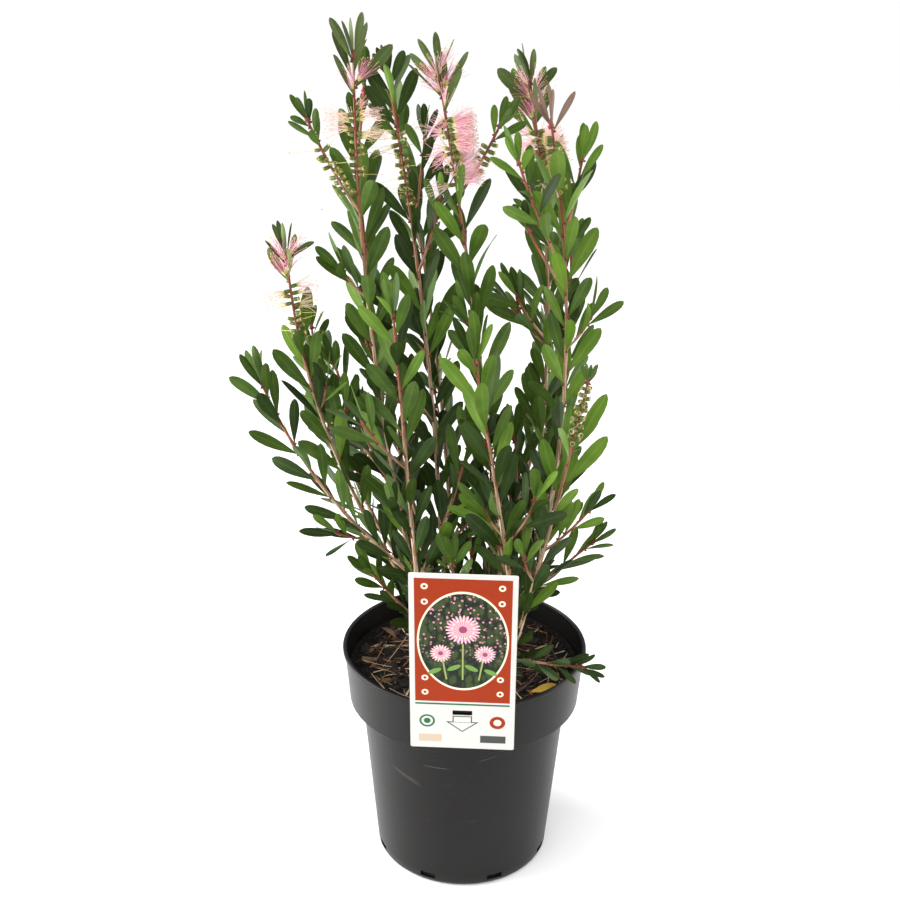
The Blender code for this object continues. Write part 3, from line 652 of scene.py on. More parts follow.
LEAF_FINISHES = tuple(LeafFinish(tone.value, *row) for tone, *row in (
    (LeafTone.FRESH, (60, 92, 18), (94, 126, 36), (150, 172, 84), (120, 120, 60)),
    (LeafTone.MID, (42, 66, 14), (74, 102, 31), (128, 150, 74), (104, 92, 50)),
    (LeafTone.DEEP, (24, 42, 9), (46, 69, 19), (96, 118, 54), (80, 66, 36)),
    (LeafTone.GREY, (56, 76, 32), (84, 102, 50), (132, 144, 92), (128, 76, 56), 0.7),
    (LeafTone.BRONZE, (94, 74, 56), (132, 110, 96), (150, 128, 104), (112, 62, 54), 0.7),
    (LeafTone.FALLEN, (186, 146, 52), (216, 184, 84), (226, 204, 120), (150, 104, 50)),
))


class Palette:
    """Every finish, made once and kept by name."""

    def __init__(self) -> None:
        """Make every finish."""
        finishes = PLAIN_FINISHES + LEAF_FINISHES + (BarkFinish(), PotFinish(), SoilFinish())
        self.made = {finish.name: finish.make() for finish in finishes}

    def __getitem__(self, name: str) -> bpy.types.Material:
        """Material of that name."""
        return self.made[name]


# Modelling


class Bench:
    """Modelling steps done with operators, as by hand."""

    @staticmethod
    def clear() -> None:
        """Leave edit mode and deselect everything."""
        if bpy.context.object is not None and bpy.context.object.mode != "OBJECT":
            bpy.ops.object.mode_set(mode="OBJECT")
        bpy.ops.object.select_all(action="DESELECT")

    @staticmethod
    def take(*items: Item) -> None:
        """Select these objects alone, with the first of them active."""
        Bench.clear()
        for item in items:
            item.select_set(True)
        bpy.context.view_layer.objects.active = items[0]

    @staticmethod
    def edit(item: Item) -> None:
        """Open an object in edit mode with all of it selected."""
        Bench.take(item)
        bpy.ops.object.mode_set(mode="EDIT")
        bpy.ops.mesh.select_mode(type="VERT")
        bpy.ops.mesh.select_all(action="SELECT")

    @staticmethod
    def pick(item: Item, test: Callable[[Vector], bool]) -> None:
        """Open an object in edit mode with only the vertices that pass a test selected."""
        Bench.edit(item)
        bpy.ops.mesh.select_all(action="DESELECT")
        bpy.ops.object.mode_set(mode="OBJECT")
        for vert in item.data.vertices:
            vert.select = test(vert.co)
        bpy.ops.object.mode_set(mode="EDIT")

    @staticmethod
    def pick_edges(item: Item, test: Callable[[Vector, Vector], bool]) -> None:
        """Open an object in edit mode with only the edges whose two ends pass a test selected."""
        Bench.edit(item)
        bpy.ops.mesh.select_mode(type="EDGE")
        bpy.ops.mesh.select_all(action="DESELECT")
        bpy.ops.object.mode_set(mode="OBJECT")
        points = [vert.co for vert in item.data.vertices]
        for edge in item.data.edges:
            edge.select = test(points[edge.vertices[0]], points[edge.vertices[1]])
        bpy.ops.object.mode_set(mode="EDIT")

    @staticmethod
    def join(items: Sequence[Item]) -> Item:
        """Join objects into the first of them."""
        Bench.take(*items)
        bpy.ops.object.join()
        return items[0]

    @staticmethod
    def close(item: Item, name: str) -> Item:
        """Turn all faces outwards, leave edit mode and put the object's place in its mesh."""
        Bench.edit(item)
        bpy.ops.mesh.normals_make_consistent(inside=False)
        bpy.ops.object.mode_set(mode="OBJECT")
        bpy.ops.object.transform_apply(location=True, rotation=True, scale=True)
        item.name = name
        item.data.name = name
        return item

    @staticmethod
    def loft(name: str, sides: int, stations: Sequence[Sequence[float]]) -> Item:
        """Extrude a filled polygon upwards from station to station.

        Args:
            name: Name of the object.
            sides: Sides of the polygon.
            stations: Height and reach of each station in order, or its height and its reach along X and Y.

        Returns:
            The closed object.
        """
        Bench.clear()
        bpy.ops.mesh.primitive_circle_add(vertices=sides, radius=1.0, fill_type="NGON")
        item = bpy.context.object
        Bench.edit(item)
        before = (0.0, 1.0, 1.0)
        for index, (height, *reach) in enumerate(stations):
            station = (height, reach[0], reach[-1])
            lift = (0.0, 0.0, height - before[0])
            if index == 0:
                bpy.ops.transform.translate(value=lift)
            else:
                bpy.ops.mesh.extrude_region_move(TRANSFORM_OT_translate={"value": lift})
            scale = (station[1] / before[1], station[2] / before[2], 1.0)
            bpy.ops.transform.resize(value=scale, center_override=(0.0, 0.0, height))
            before = station
        return Bench.close(item, name)

    @staticmethod
    def spun(name: str, profile: Sequence[tuple[float, float]], steps: int) -> Item:
        """Spin a profile of radius and height pairs about the Z axis.

        Args:
            name: Name of the object.
            profile: Corners of the profile, in order.
            steps: Steps of the full turn.

        Returns:
            The closed object.
        """
        Bench.clear()
        radius, height = profile[0]
        bpy.ops.mesh.primitive_plane_add(size=0.01, location=(radius, 0.0, height))
        item = bpy.context.object
        bpy.ops.object.transform_apply(location=True, rotation=True, scale=True)
        Bench.edit(item)
        bpy.ops.mesh.merge(type="CENTER")
        for (near, low), (far, high) in zip(profile, profile[1:]):
            step = {"value": (far - near, 0.0, high - low)}
            bpy.ops.mesh.extrude_region_move(TRANSFORM_OT_translate=step)
        bpy.ops.mesh.select_all(action="SELECT")
        bpy.ops.mesh.spin(steps=steps, angle=math.tau, center=(0.0, 0.0, 0.0), axis=(0.0, 0.0, 1.0))
        bpy.ops.mesh.select_all(action="SELECT")
        bpy.ops.mesh.remove_doubles(threshold=0.00001)
        return Bench.close(item, name)

    @staticmethod
    def block(name: str, low: Point, high: Point) -> Item:
        """Add a box between two corners."""
        Bench.clear()
        centre = [(first + second) / 2.0 for first, second in zip(low, high)]
        size = [second - first for first, second in zip(low, high)]
        bpy.ops.mesh.primitive_cube_add(size=1.0, location=centre, scale=size)
        return Bench.close(bpy.context.object, name)

    @staticmethod
    def modify(item: Item, kind: str, **settings: object) -> None:
        """Add a modifier with these settings and apply it."""
        modifier = item.modifiers.new(kind.lower(), kind)
        for name, value in settings.items():
            setattr(modifier, name, value)
        Bench.take(item)
        bpy.ops.object.modifier_apply(modifier=modifier.name)

    @staticmethod
    def subtract(item: Item, cutter: Item) -> None:
        """Cut the shape of one object out of another and remove it."""
        Bench.modify(item, "BOOLEAN", operation="DIFFERENCE", solver="EXACT", object=cutter)
        bpy.data.objects.remove(cutter, do_unlink=True)

    @staticmethod
    def roughen(item: Item, size: float, depth: float, level: float = 0.5, **settings: object) -> None:
        """Displace a surface by clouds of a size, by a depth about a middle level."""
        texture = bpy.data.textures.new(item.name, "CLOUDS")
        texture.noise_scale = size
        Bench.modify(item, "DISPLACE", texture=texture, texture_coords="LOCAL", strength=depth,
                     mid_level=level, **settings)

    @staticmethod
    def smooth(item: Item, angle: float) -> None:
        """Shade an object smooth, apart from edges sharper than an angle in degrees."""
        item.data.shade_smooth()
        item.data.set_sharp_from_angle(angle=math.radians(angle))


@dataclass(frozen=True)
class Pattern:
    """Small shape, modelled once, that is copied many times into joined meshes.

    Its points have the columns face, across and along: X, Y and Z as it was modelled.
    """
    points: np.ndarray
    corners: np.ndarray
    sizes: np.ndarray
    parts: tuple[Part, ...]

    @classmethod
    def of(cls, item: Item, part_of: Callable[[Vector], Part] = lambda centre: Part.BODY) -> "Pattern":
        """Take the pattern from an object and remove it.

        Args:
            item: The modelled object.
            part_of: Gives a face's part from its centre.

        Returns:
            The pattern.
        """
        mesh = item.data
        points = np.array([vert.co for vert in mesh.vertices], float)
        corners = np.array([index for face in mesh.polygons for index in face.vertices])
        sizes = np.array([len(face.vertices) for face in mesh.polygons])
        parts = tuple(part_of(face.center) for face in mesh.polygons)
        bpy.data.objects.remove(item, do_unlink=True)
        return cls(points, corners, sizes, parts)


class Batch:
    """Joined mesh in the making, built from copies of patterns."""

    def __init__(self, name: str) -> None:
        """Start an empty mesh of that name."""
        self.name = name
        self.finishes: list[str] = []
        self.points: list[np.ndarray] = []
        self.corners: list[np.ndarray] = []
        self.sizes: list[np.ndarray] = []
        self.slots: list[np.ndarray] = []
        self.extra: dict[str, list[np.ndarray]] = {}
        self.count = 0

    def add(self, pattern: Pattern, points: np.ndarray, body: str, dressing: Optional[dict[Part, str]] = None,
            **extra: np.ndarray) -> None:
        """Add one copy of a pattern.

        Args:
            pattern: The pattern.
            points: Its points, in place.
            body: Name of its finish.
            dressing: Names of the finishes of parts that have one of their own.
            extra: Values for mesh attributes, one row for each point.
        """
        names = {Part.BODY: body, **(dressing or {})}
        for name in names.values():
            if name not in self.finishes:
                self.finishes.append(name)
        chosen = [self.finishes.index(names.get(part, body)) for part in pattern.parts]
        self.points.append(points)
        self.corners.append(pattern.corners + self.count)
        self.sizes.append(pattern.sizes)
        self.slots.append(np.array(chosen))
        for name, values in extra.items():
            self.extra.setdefault(name, []).append(values)
        self.count += len(points)

    def build(self, palette: Palette, slot: str, sharp: float) -> Item:
        """Join the copies into one object.

        Args:
            palette: Finishes by name.
            slot: Not used.
            sharp: Angle in degrees past which an edge is sharp.

        Returns:
            The object, riding on the root body.
        """
        mesh = bpy.data.meshes.new(self.name)
        points = np.concatenate(self.points)
        corners = np.concatenate(self.corners)
        sizes = np.concatenate(self.sizes)
        mesh.vertices.add(len(points))
        mesh.vertices.foreach_set("co", points.astype(np.float32).ravel())
        mesh.loops.add(len(corners))
        mesh.loops.foreach_set("vertex_index", corners.astype(np.int32))
        mesh.polygons.add(len(sizes))
        mesh.polygons.foreach_set("loop_start", (np.cumsum(sizes) - sizes).astype(np.int32))
        mesh.polygons.foreach_set("material_index", np.concatenate(self.slots).astype(np.int32))
        for name, values in self.extra.items():
            rows = np.concatenate(values).astype(np.float32)
            kind = "FLOAT" if rows.ndim == 1 else "FLOAT_VECTOR"
            attribute = mesh.attributes.new(name, kind, "POINT")
            attribute.data.foreach_set("value" if rows.ndim == 1 else "vector", rows.ravel())
        mesh.update(calc_edges=True)
        item = bpy.data.objects.new(self.name, mesh)
        bpy.context.scene.collection.objects.link(item)
        for name in self.finishes:
            mesh.materials.append(palette[name])
        Bench.smooth(item, sharp)
        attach(item, "root")
        triangles = int((sizes - 2).sum())
        LOG.info("%s: %d copies, %d triangles", self.name, len(self.points), triangles)
        return item


def tree_of(item: Item) -> BVHTree:
    """Search tree of an object's faces."""
    points = [vert.co[:] for vert in item.data.vertices]
    return BVHTree.FromPolygons(points, [face.vertices[:] for face in item.data.polygons])


def curled(points: np.ndarray, size: Point, fold: float, curl: float, twist: float) -> np.ndarray:
    """Scale a pattern, fold it along its rib, twist it and curl it along its length.

    Args:
        points: The pattern's points.
        size: Half depth, half width and length in metres.
        fold: Rise of the edges as a share of their distance from the rib.
        curl: Turn of the tip towards the face, in radians.
        twist: Turn of the tip about the rib, in radians.

    Returns:
        The points, with the columns face, across and along.
    """
    share = points[:, 2]
    across = points[:, 1] * size[1]
    face = points[:, 0] * size[0] + np.abs(across) * fold
    turn = twist * share
    face, across = face * np.cos(turn) - across * np.sin(turn), face * np.sin(turn) + across * np.cos(turn)
    along = share * size[2]
    if abs(curl) > 0.001:
        bend = curl * share
        radius = size[2] / curl
        face, along = radius * (1.0 - np.cos(bend)) + face * np.cos(bend), (radius - face) * np.sin(bend)
    return np.stack([face, across, along], axis=1)


def placed(points: np.ndarray, root: Vector, basis: Basis) -> np.ndarray:
    """Points moved to a root, with their columns along the basis."""
    return points @ np.array([list(axis) for axis in basis]) + np.array(list(root))


def basis_of(aim: Vector, face: Vector, roll: float = 0.0) -> Basis:
    """Face, across and along directions, the last one exactly aim and the first near face."""
    along = aim.normalized()
    across = along.cross(face)
    if across.length < 1e-5:
        across = along.orthogonal()
    across = across.normalized()
    across.rotate(Matrix.Rotation(roll, 3, along))
    return across.cross(along).normalized(), across, along


@dataclass(frozen=True)
class Path:
    """Quadratic curve from start to end, drawn towards its control point."""
    start: Vector
    control: Vector
    end: Vector

    def point(self, share: float) -> Vector:
        """Point at a share of the curve."""
        rest = 1.0 - share
        return self.start * rest * rest + self.control * (2.0 * rest * share) + self.end * share * share

    def heading(self, share: float) -> Vector:
        """Unit direction of travel at a share of the curve."""
        rest = 1.0 - share
        return ((self.control - self.start) * rest + (self.end - self.control) * share).normalized()

    def length(self) -> float:
        """Length, measured over short chords."""
        points = [self.point(step / 16.0) for step in range(17)]
        return sum((after - before).length for before, after in zip(points, points[1:]))


def bowed_path(start: Vector, end: Vector, bow: Vector) -> Path:
    """Path whose middle stands off the straight line by bow."""
    return Path(start, (start + end) / 2.0 + bow * 2.0, end)


# The plant


class Patterns:
    """Small shapes of the plant, each modelled once."""

    leaf_outline = ((0.00, 0.14), (0.07, 0.15), (0.18, 0.36), (0.33, 0.66), (0.48, 0.89),
                    (0.62, 1.00), (0.76, 0.97), (0.88, 0.79), (0.96, 0.46), (1.00, 0.06))

    def __init__(self) -> None:
        """Model every shape."""
        self.leaf = self.model_leaf()
        self.cup = self.model_cup()
        self.stamen = self.model_stamen()
        self.scar = self.model_scar()
        self.bud = self.model_bud()
        self.cane = self.model_tube("cane_pattern", 12, 72, 0.30)
        self.twig = self.model_tube("twig_pattern", 8, 20, 0.16)

    def model_leaf(self) -> Pattern:
        """Blade, drawn out along its outline, with a raised rib strip on its face."""
        item = Bench.loft("leaf_pattern", 6, [(share, 1.0, width) for share, width in self.leaf_outline])
        for face, width in ((1.0, 0.15), (-1.0, 0.30)):
            Bench.pick(item, lambda co: co.x * face > 0.1)
            bpy.ops.transform.resize(value=(1.0, width, 1.0), center_override=(0.0, 0.0, 0.0))
        return Pattern.of(Bench.close(item, item.name))

    def blade(self) -> np.ndarray:
        """Share along the leaf and share from rib to margin, for each point of the pattern."""
        along = self.leaf.points[:, 2]
        shares, widths = zip(*self.leaf_outline)
        across = np.abs(self.leaf.points[:, 1]) / np.interp(along, shares, widths)
        return np.stack([along, across, np.zeros(len(along))], axis=1)

    def model_cup(self) -> Pattern:
        """Barrel-shaped flower cup with a lobed lip and a sunken heart."""
        stations = ((0.0, 0.40), (0.10, 0.82), (0.40, 1.0), (0.86, 0.90), (1.0, 1.02), (1.0, 0.80),
                    (0.86, 0.62))
        item = Bench.loft("cup_pattern", 8, stations)
        Bench.pick(item, lambda co: co.z > 0.98 and self.is_lobe(co))
        bpy.ops.transform.translate(value=(0.0, 0.0, 0.12))

        def part_of(centre: Vector) -> Part:
            """Body below, heart inside the mouth and lip round it."""
            reach = math.hypot(centre.x, centre.y)
            if centre.z < 0.90 and reach > 0.5 or centre.z < 0.2:
                return Part.BODY
            return Part.HEART if reach < 0.80 else Part.LIP

        return Pattern.of(Bench.close(item, item.name), part_of)

    @staticmethod
    def is_lobe(co: Vector) -> bool:
        """Whether a rim point of the cup stands on one of its lobes."""
        return round(math.atan2(co.x, co.y) / math.tau * 8.0) % 2 == 0

    def model_stamen(self) -> Pattern:
        """Three-sided filament with a pale foot and a swollen tip."""
        stations = ((0.0, 1.1), (0.22, 1.0), (0.58, 0.85), (0.95, 0.70), (0.965, 1.8), (1.0, 1.2))

        def part_of(centre: Vector) -> Part:
            """Foot below, anther at the tip and filament between."""
            if centre.z > 0.95:
                return Part.TIP
            return Part.FOOT if centre.z < 0.22 else Part.BODY

        return Pattern.of(Bench.loft("stamen_pattern", 3, stations), part_of)

    def model_scar(self) -> Pattern:
        """Small knot where a leaf leaves its stem."""
        return Pattern.of(Bench.loft("scar_pattern", 6, ((0.0, 1.0), (0.45, 0.95), (0.85, 0.6), (1.0, 0.2))))

    def model_bud(self) -> Pattern:
        """Pointed scaly bud, its rings stepped in and out."""
        stations = ((0.0, 0.55), (0.10, 0.95), (0.30, 1.0), (0.34, 0.84), (0.54, 0.86), (0.58, 0.68),
                    (0.76, 0.62), (0.80, 0.44), (1.0, 0.10))
        return Pattern.of(Bench.loft("bud_pattern", 7, stations))

    def model_tube(self, name: str, sides: int, rings: int, depth: float) -> Pattern:
        """Unit tube whose bark stands up in strings.

        Args:
            name: Name of the pattern.
            sides: Sides of the tube.
            rings: Rings along it.
            depth: Height of the strings as a share of the radius.

        Returns:
            The pattern, from 0 to 1 along its length.
        """
        item = Bench.loft(name, sides, [(ring / rings * 10.0, 1.0) for ring in range(rings + 1)])
        Bench.roughen(item, 0.9, depth * 2.0)
        Bench.edit(item)
        bpy.ops.transform.resize(value=(1.0, 1.0, 0.1), center_override=(0.0, 0.0, 0.0))
        return Pattern.of(Bench.close(item, name))


@dataclass(frozen=True)
class Stem:
    """One stem of a shoot and what it carries.

    spikes and first are shares of its length. The leaves start at first. youth is how young
    its bark is at its foot and its tip, from 0 to 1, and budded whether it ends in a bud.
    """
    path: Path
    radii: tuple[float, float]
    youth: tuple[float, float]
    spikes: tuple[Spike, ...] = ()
    first: float = 0.02
    tone: LeafTone = LeafTone.MID
    tip_tone: LeafTone = LeafTone.MID
    vigour: float = 1.0
    tuft: float = 0.74
    axils: int = 0
    budded: bool = True

    def radius(self, share: float) -> float:
        """Radius at a share of its length."""
        return between(self.radii, share)


@dataclass(frozen=True)
class BloomHabit:
    """What the flowers of a spike show, from its foot to its top.

    stamens is their number in a flower at the foot and at the top, finishes the tones at the
    foot and at the top, spread half the angle of a tuft, bare the share of flowers that have
    lost their stamens, styled the share that keeps a lone style, and pitch how far apart they
    stand against the usual.
    """
    stamens: tuple[int, int] = (0, 0)
    finishes: tuple[str, str] = ("stamen_cream", "stamen_cream")
    anther: str = "anther_dark"
    spread: float = 0.3
    bare: tuple[float, float] = (1.0, 1.0)
    styled: float = 0.0
    pitch: float = 1.0
    fruit: bool = False


BLOOM_HABITS = {
    Bloom.FULL: BloomHabit((30, 36), ("stamen_blush", "stamen_pink"), "anther_buff", 0.60, (0.20, 0.0),
                           0.2, 0.6),
    Bloom.BLUSH: BloomHabit((26, 32), ("stamen_cream", "stamen_blush"), "anther_buff", 0.58, (0.30, 0.05),
                            0.2, 0.7),
    Bloom.FADED: BloomHabit((20, 24), ("stamen_cream", "stamen_shell"), "anther_buff", 0.46, (0.30, 0.0),
                            0.4),
    Bloom.SPENT: BloomHabit((8, 12), spread=0.26, bare=(0.95, 0.72), styled=0.4),
    Bloom.BUDS: BloomHabit(),
    Bloom.CUPS: BloomHabit(styled=0.16),
    Bloom.FRUIT: BloomHabit(pitch=0.75, fruit=True),
}


class Thicket:
    """What already stands in the crown, so that no blade cuts through it."""

    cell = 0.030

    def __init__(self, solids: Sequence[BVHTree], ground: float) -> None:
        """Start with the solids alone, and with the height that blades stay above."""
        self.solids = list(solids)
        self.ground = ground
        self.cells: dict[tuple[int, int, int], list[BVHTree]] = {}

    def reach(self, points: np.ndarray) -> list[tuple[int, int, int]]:
        """Cells that the box round some points covers."""
        low = np.floor(points.min(0) / self.cell).astype(int)
        high = np.floor(points.max(0) / self.cell).astype(int)
        return list(itertools.product(*(range(first, last + 1) for first, last in zip(low, high))))

    def claim(self, points: np.ndarray) -> bool:
        """Add a blade if it is clear of everything, and say whether it is.

        Args:
            points: Left and right edge at two stations, then the tip.

        Returns:
            Whether the blade was clear and is now in the thicket.
        """
        if points[:, 2].min() < self.ground:
            return False
        blade = BVHTree.FromPolygons([tuple(point) for point in points], [(0, 1, 3, 2), (2, 3, 4)])
        if any(blade.overlap(solid) for solid in self.solids):
            return False
        cells = self.reach(points)
        seen = {id(tree): tree for cell in cells for tree in self.cells.get(cell, ())}
        if any(blade.overlap(tree) for tree in seen.values()):
            return False
        for cell in cells:
            self.cells.setdefault(cell, []).append(blade)
        return True


class Shoot:
    """Leafy shoot of a cane: its stems and twigs, laid out by the source's rule."""

    tip_radius = 0.0009
    twig_radius = 0.0012
    cane_radius = 0.0018
    twig_length = 0.048
    twig_angle = math.radians(36.0)
    twig_lengths = (0.7, 1.1)
    twig_bow = 0.06
    twig_first = 0.16
    spray_length = 0.030
    spray_spacing = 0.240
    main_first = 0.02
    side_first = 0.25
    side_sag = 0.05

    def __init__(self, cane: Cane, seed: int, foot: Vector) -> None:
        """Lay out a cane's shoot, from its foot where it has no bare limb."""
        self.cane = cane
        self.rng = random.Random(seed)
        start = Vector(cane.base) if cane.limb else foot
        self.main = bowed_path(start, Vector(cane.tip), Vector(cane.bow))
        thick = self.cane_radius if self.main.length() > self.twig_length * 2.0 else self.twig_radius
        looks = {"tone": cane.tone, "tip_tone": cane.tone, "vigour": cane.vigour}
        self.stems = [Stem(self.main, (thick, self.tip_radius), (0.0, 1.0), cane.spikes, self.main_first,
                           cane.tone, cane.tip_tone, cane.vigour, cane.tuft, cane.axils)]
        for side in cane.sides:
            start = self.main.point(side.share)
            lift = Vector((0.0, 0.0, -(Vector(side.tip) - start).length * self.side_sag))
            path = bowed_path(start, Vector(side.tip), lift)
            looks["vigour"] = cane.vigour * side.vigour
            self.stems.append(Stem(path, (self.twig_radius, self.tip_radius), (0.6, 1.0), side.spikes,
                                   self.side_first if side.leafy else 1.0, **looks))
        looks["vigour"] = cane.vigour
        sprays = round(self.main.length() / self.spray_spacing)
        for count, length, first, span, ease in ((cane.twigs, self.twig_length, 0.10, 0.45, 0.2),
                                                 (sprays, self.spray_length, 0.04, 0.56, 0.1)):
            for index in range(count):
                share = first + span * (index + self.rng.uniform(ease, 1.0 - ease)) / count
                self.add_twig(share, length, looks)

    def add_twig(self, share: float, length: float, looks: dict) -> None:
        """Add one seeded twig that leaves the main stem at a share of its length."""
        heading = self.main.heading(share)
        out = beside(heading, self.rng.uniform(0.0, math.tau))
        aim = swung(heading, out, self.twig_angle)
        start = self.main.point(share)
        length *= self.rng.uniform(*self.twig_lengths)
        path = bowed_path(start, start + aim * length, out * length * self.twig_bow)
        thickness = 1.0 if length > self.spray_length * self.twig_lengths[1] else 0.8
        radii = (self.twig_radius * thickness, self.tip_radius * 0.9)
        self.stems.append(Stem(path, radii, (0.4, 1.0), (), self.twig_first, **looks))


@dataclass
class Plant:
    """Stem, canes and leafy shoots with their leaves, flowers and buds.

    The stem and the feet of the canes have the source's sizes, and the leaf sizes are real.
    crown_pitch is how far apart leaves stand above a spike against leaf_pitch. In every free_cup
    cups one stands outside the two ranks. leaf_seat and cup_seat are the shares of a stem's
    radius at which they sit. blade_ring gives the places, along and across, at which a leaf is
    tested for room, in up to leaf_tries tries that are retry_turn apart.
    """
    ground: float = 0.1763
    stem_foot_radius: float = 0.0150
    stem_radius: float = 0.0090
    stem_top_radius: float = 0.0078
    stem_height: float = 0.0230
    foot_levels: tuple[float, ...] = (0.0060, 0.0125, 0.0190)
    cane_foot_radius: float = 0.0023
    cane_radius: float = 0.0018
    gap: float = 0.0003
    leaf_length: float = 0.0435
    leaf_width: float = 0.0100
    leaf_pitch: float = 0.0088
    crown_pitch: float = 0.65
    leaf_angle: float = math.radians(29.0)
    tuft_angle: float = math.radians(31.0)
    whorl_angle: float = math.radians(13.0)
    tuft_length: float = 0.035
    tuft_crowding: float = 0.10
    leaf_tries: int = 10
    retry_turn: float = 0.35
    leaf_scales: tuple[float, float] = (0.84, 1.10)
    leaf_fold: tuple[float, float] = (0.04, 0.20)
    leaf_curl: tuple[float, float] = (-0.12, 0.20)
    leaf_twist: float = 0.22
    # Below this height leaves are dealt the deep green more often, the lower the likelier: partly older
    # leaves, partly painted shade low in the crown.
    shade_and_age_height: float = 0.42
    shade_and_age_depth: float = 0.22
    low_height: float = 0.25
    low_scale: float = 0.80
    cup_pitch: float = 0.0024
    free_cup: int = 5
    cup_radius: float = 0.0017
    cup_length: float = 0.0048
    cup_scales: tuple[float, float] = (0.84, 1.10)
    cup_tilt: tuple[float, float] = (-0.14, 0.34)
    cup_mouth: float = 0.86
    green_cups: float = 0.7
    stamen_length: float = 0.0160
    stamen_radius: float = 0.00015
    stamen_scales: tuple[float, float] = (0.72, 1.16)
    stamen_curl: tuple[float, float] = (0.15, 0.45)
    stamen_ring: float = 0.60
    style_length: float = 0.0200
    style_scales: tuple[float, float] = (0.75, 1.1)
    axil_stamens: int = 34
    axil_spread: float = 0.44
    axil_cup: float = 0.82
    axil_lift: float = 0.0024
    axil_opening: float = 1.35
    sunk_share: float = 0.55
    sunk_depth: float = 0.002
    foot_pull: float = 0.45
    long_limb: float = 0.075
    young_from: float = 0.35
    young_over: float = 0.45
    tip_bud: Point = (0.0018, 0.0018, 0.0062)
    rose_bud: Point = (0.0010, 0.0010, 0.0034)
    bud_seat: float = 0.0012
    knot: Point = (0.0010, 0.0010, 0.0025)
    leaf_depth: float = 0.00030
    leaf_seat: float = 0.6
    cup_seat: float = 0.7
    rank_wander: float = 0.34
    limb_first: float = 0.35
    limb_vigour: float = 0.72
    own_tone: float = 0.62
    tuft_core: float = 0.55
    blade_ring: tuple[tuple[float, float], ...] = (
        (0.18, -0.36), (0.18, 0.36), (0.62, -1.0), (0.62, 1.0), (1.0, 0.0))

    def __post_init__(self) -> None:
        """Model the patterns and lay out the shoots."""
        self.patterns = Patterns()
        self.blade = self.patterns.blade()
        self.shoots = [Shoot(cane, 101 + index, self.foot_point(cane)) for index, cane in enumerate(CANES)]
        self.rng = random.Random(7)

    def foot_point(self, cane: Cane) -> Vector:
        """Where a cane starts, clear of the stem's side or top, as in the source."""
        turn = math.radians(cane.foot_turn)
        if cane.foot_level < len(self.foot_levels):
            reach = self.stem_radius + self.cane_foot_radius + 2.0 * self.gap
            height = self.ground + self.foot_levels[cane.foot_level]
        else:
            reach = self.stem_top_radius / 2.0
            height = self.ground + self.stem_height + self.cane_foot_radius
        return Vector((reach * math.cos(turn), reach * math.sin(turn), height))

    def limb_path(self, cane: Cane, shoot: Shoot) -> Path:
        """Path of a cane's bare limb, from inside the stem on into its shoot."""
        foot = self.foot_point(cane)
        heading = shoot.main.heading(0.0)
        end = shoot.main.start + heading * self.gap
        sunk = Vector((foot.x * self.sunk_share, foot.y * self.sunk_share, foot.z - self.sunk_depth))
        return Path(sunk, end - heading * (end - foot).length * self.foot_pull, end)

    def build(self, palette: Palette) -> None:
        """Build every piece of the plant."""
        self.build_wood(palette)
        self.build_shoot_stems(palette)
        self.cups = Batch("flower_cups")
        self.stamens = Batch("flower_stamens")
        self.styles = Batch("flower_styles")
        for stem in (stem for shoot in self.shoots for stem in shoot.stems):
            for spike in stem.spikes:
                self.grow_spike(stem, spike)
        self.build_leaves(palette)
        self.cups.build(palette, "foliage", 50.0)
        self.stamens.build(palette, "foliage", 80.0)
        self.styles.build(palette, "foliage", 80.0)

    def add_limb(self, batch: Batch, path: Path, radii: Sequence[float], youth: Sequence[float]) -> None:
        """Warp the bark tube along a path and add it to a batch.

        Args:
            batch: The batch.
            path: Line that the limb follows.
            radii: Radius at its foot and its tip.
            youth: How young its bark is at its foot and its tip.
        """
        length = path.length()
        pattern = self.patterns.cane if length > self.long_limb else self.patterns.twig
        share = np.clip(pattern.points[:, 2], 0.0, 1.0)[:, None]
        start, control, end = (np.array(list(point)) for point in (path.start, path.control, path.end))
        centre = start * (1 - share) ** 2 + control * 2 * share * (1 - share) + end * share ** 2
        heading = (control - start) * (1 - share) + (end - control) * share
        heading /= np.linalg.norm(heading, axis=1, keepdims=True)
        side = np.cross(np.array(list(path.heading(0.5).orthogonal())), heading)
        side /= np.linalg.norm(side, axis=1, keepdims=True)
        other = np.cross(heading, side)
        turn = self.rng.uniform(0.0, math.tau)
        x = pattern.points[:, 0] * math.cos(turn) - pattern.points[:, 1] * math.sin(turn)
        y = pattern.points[:, 0] * math.sin(turn) + pattern.points[:, 1] * math.cos(turn)
        share = share[:, 0]
        radius = between(radii, share)
        points = centre + side * (x * radius)[:, None] + other * (y * radius)[:, None]
        grain = np.stack([x, y, share * length + self.rng.uniform(0.0, 9.0)], axis=1)
        age = between(youth, np.clip((share - self.young_from) / self.young_over, 0.0, 1.0))
        batch.add(pattern, points, "bark_stringy", grain=grain, youth=age)

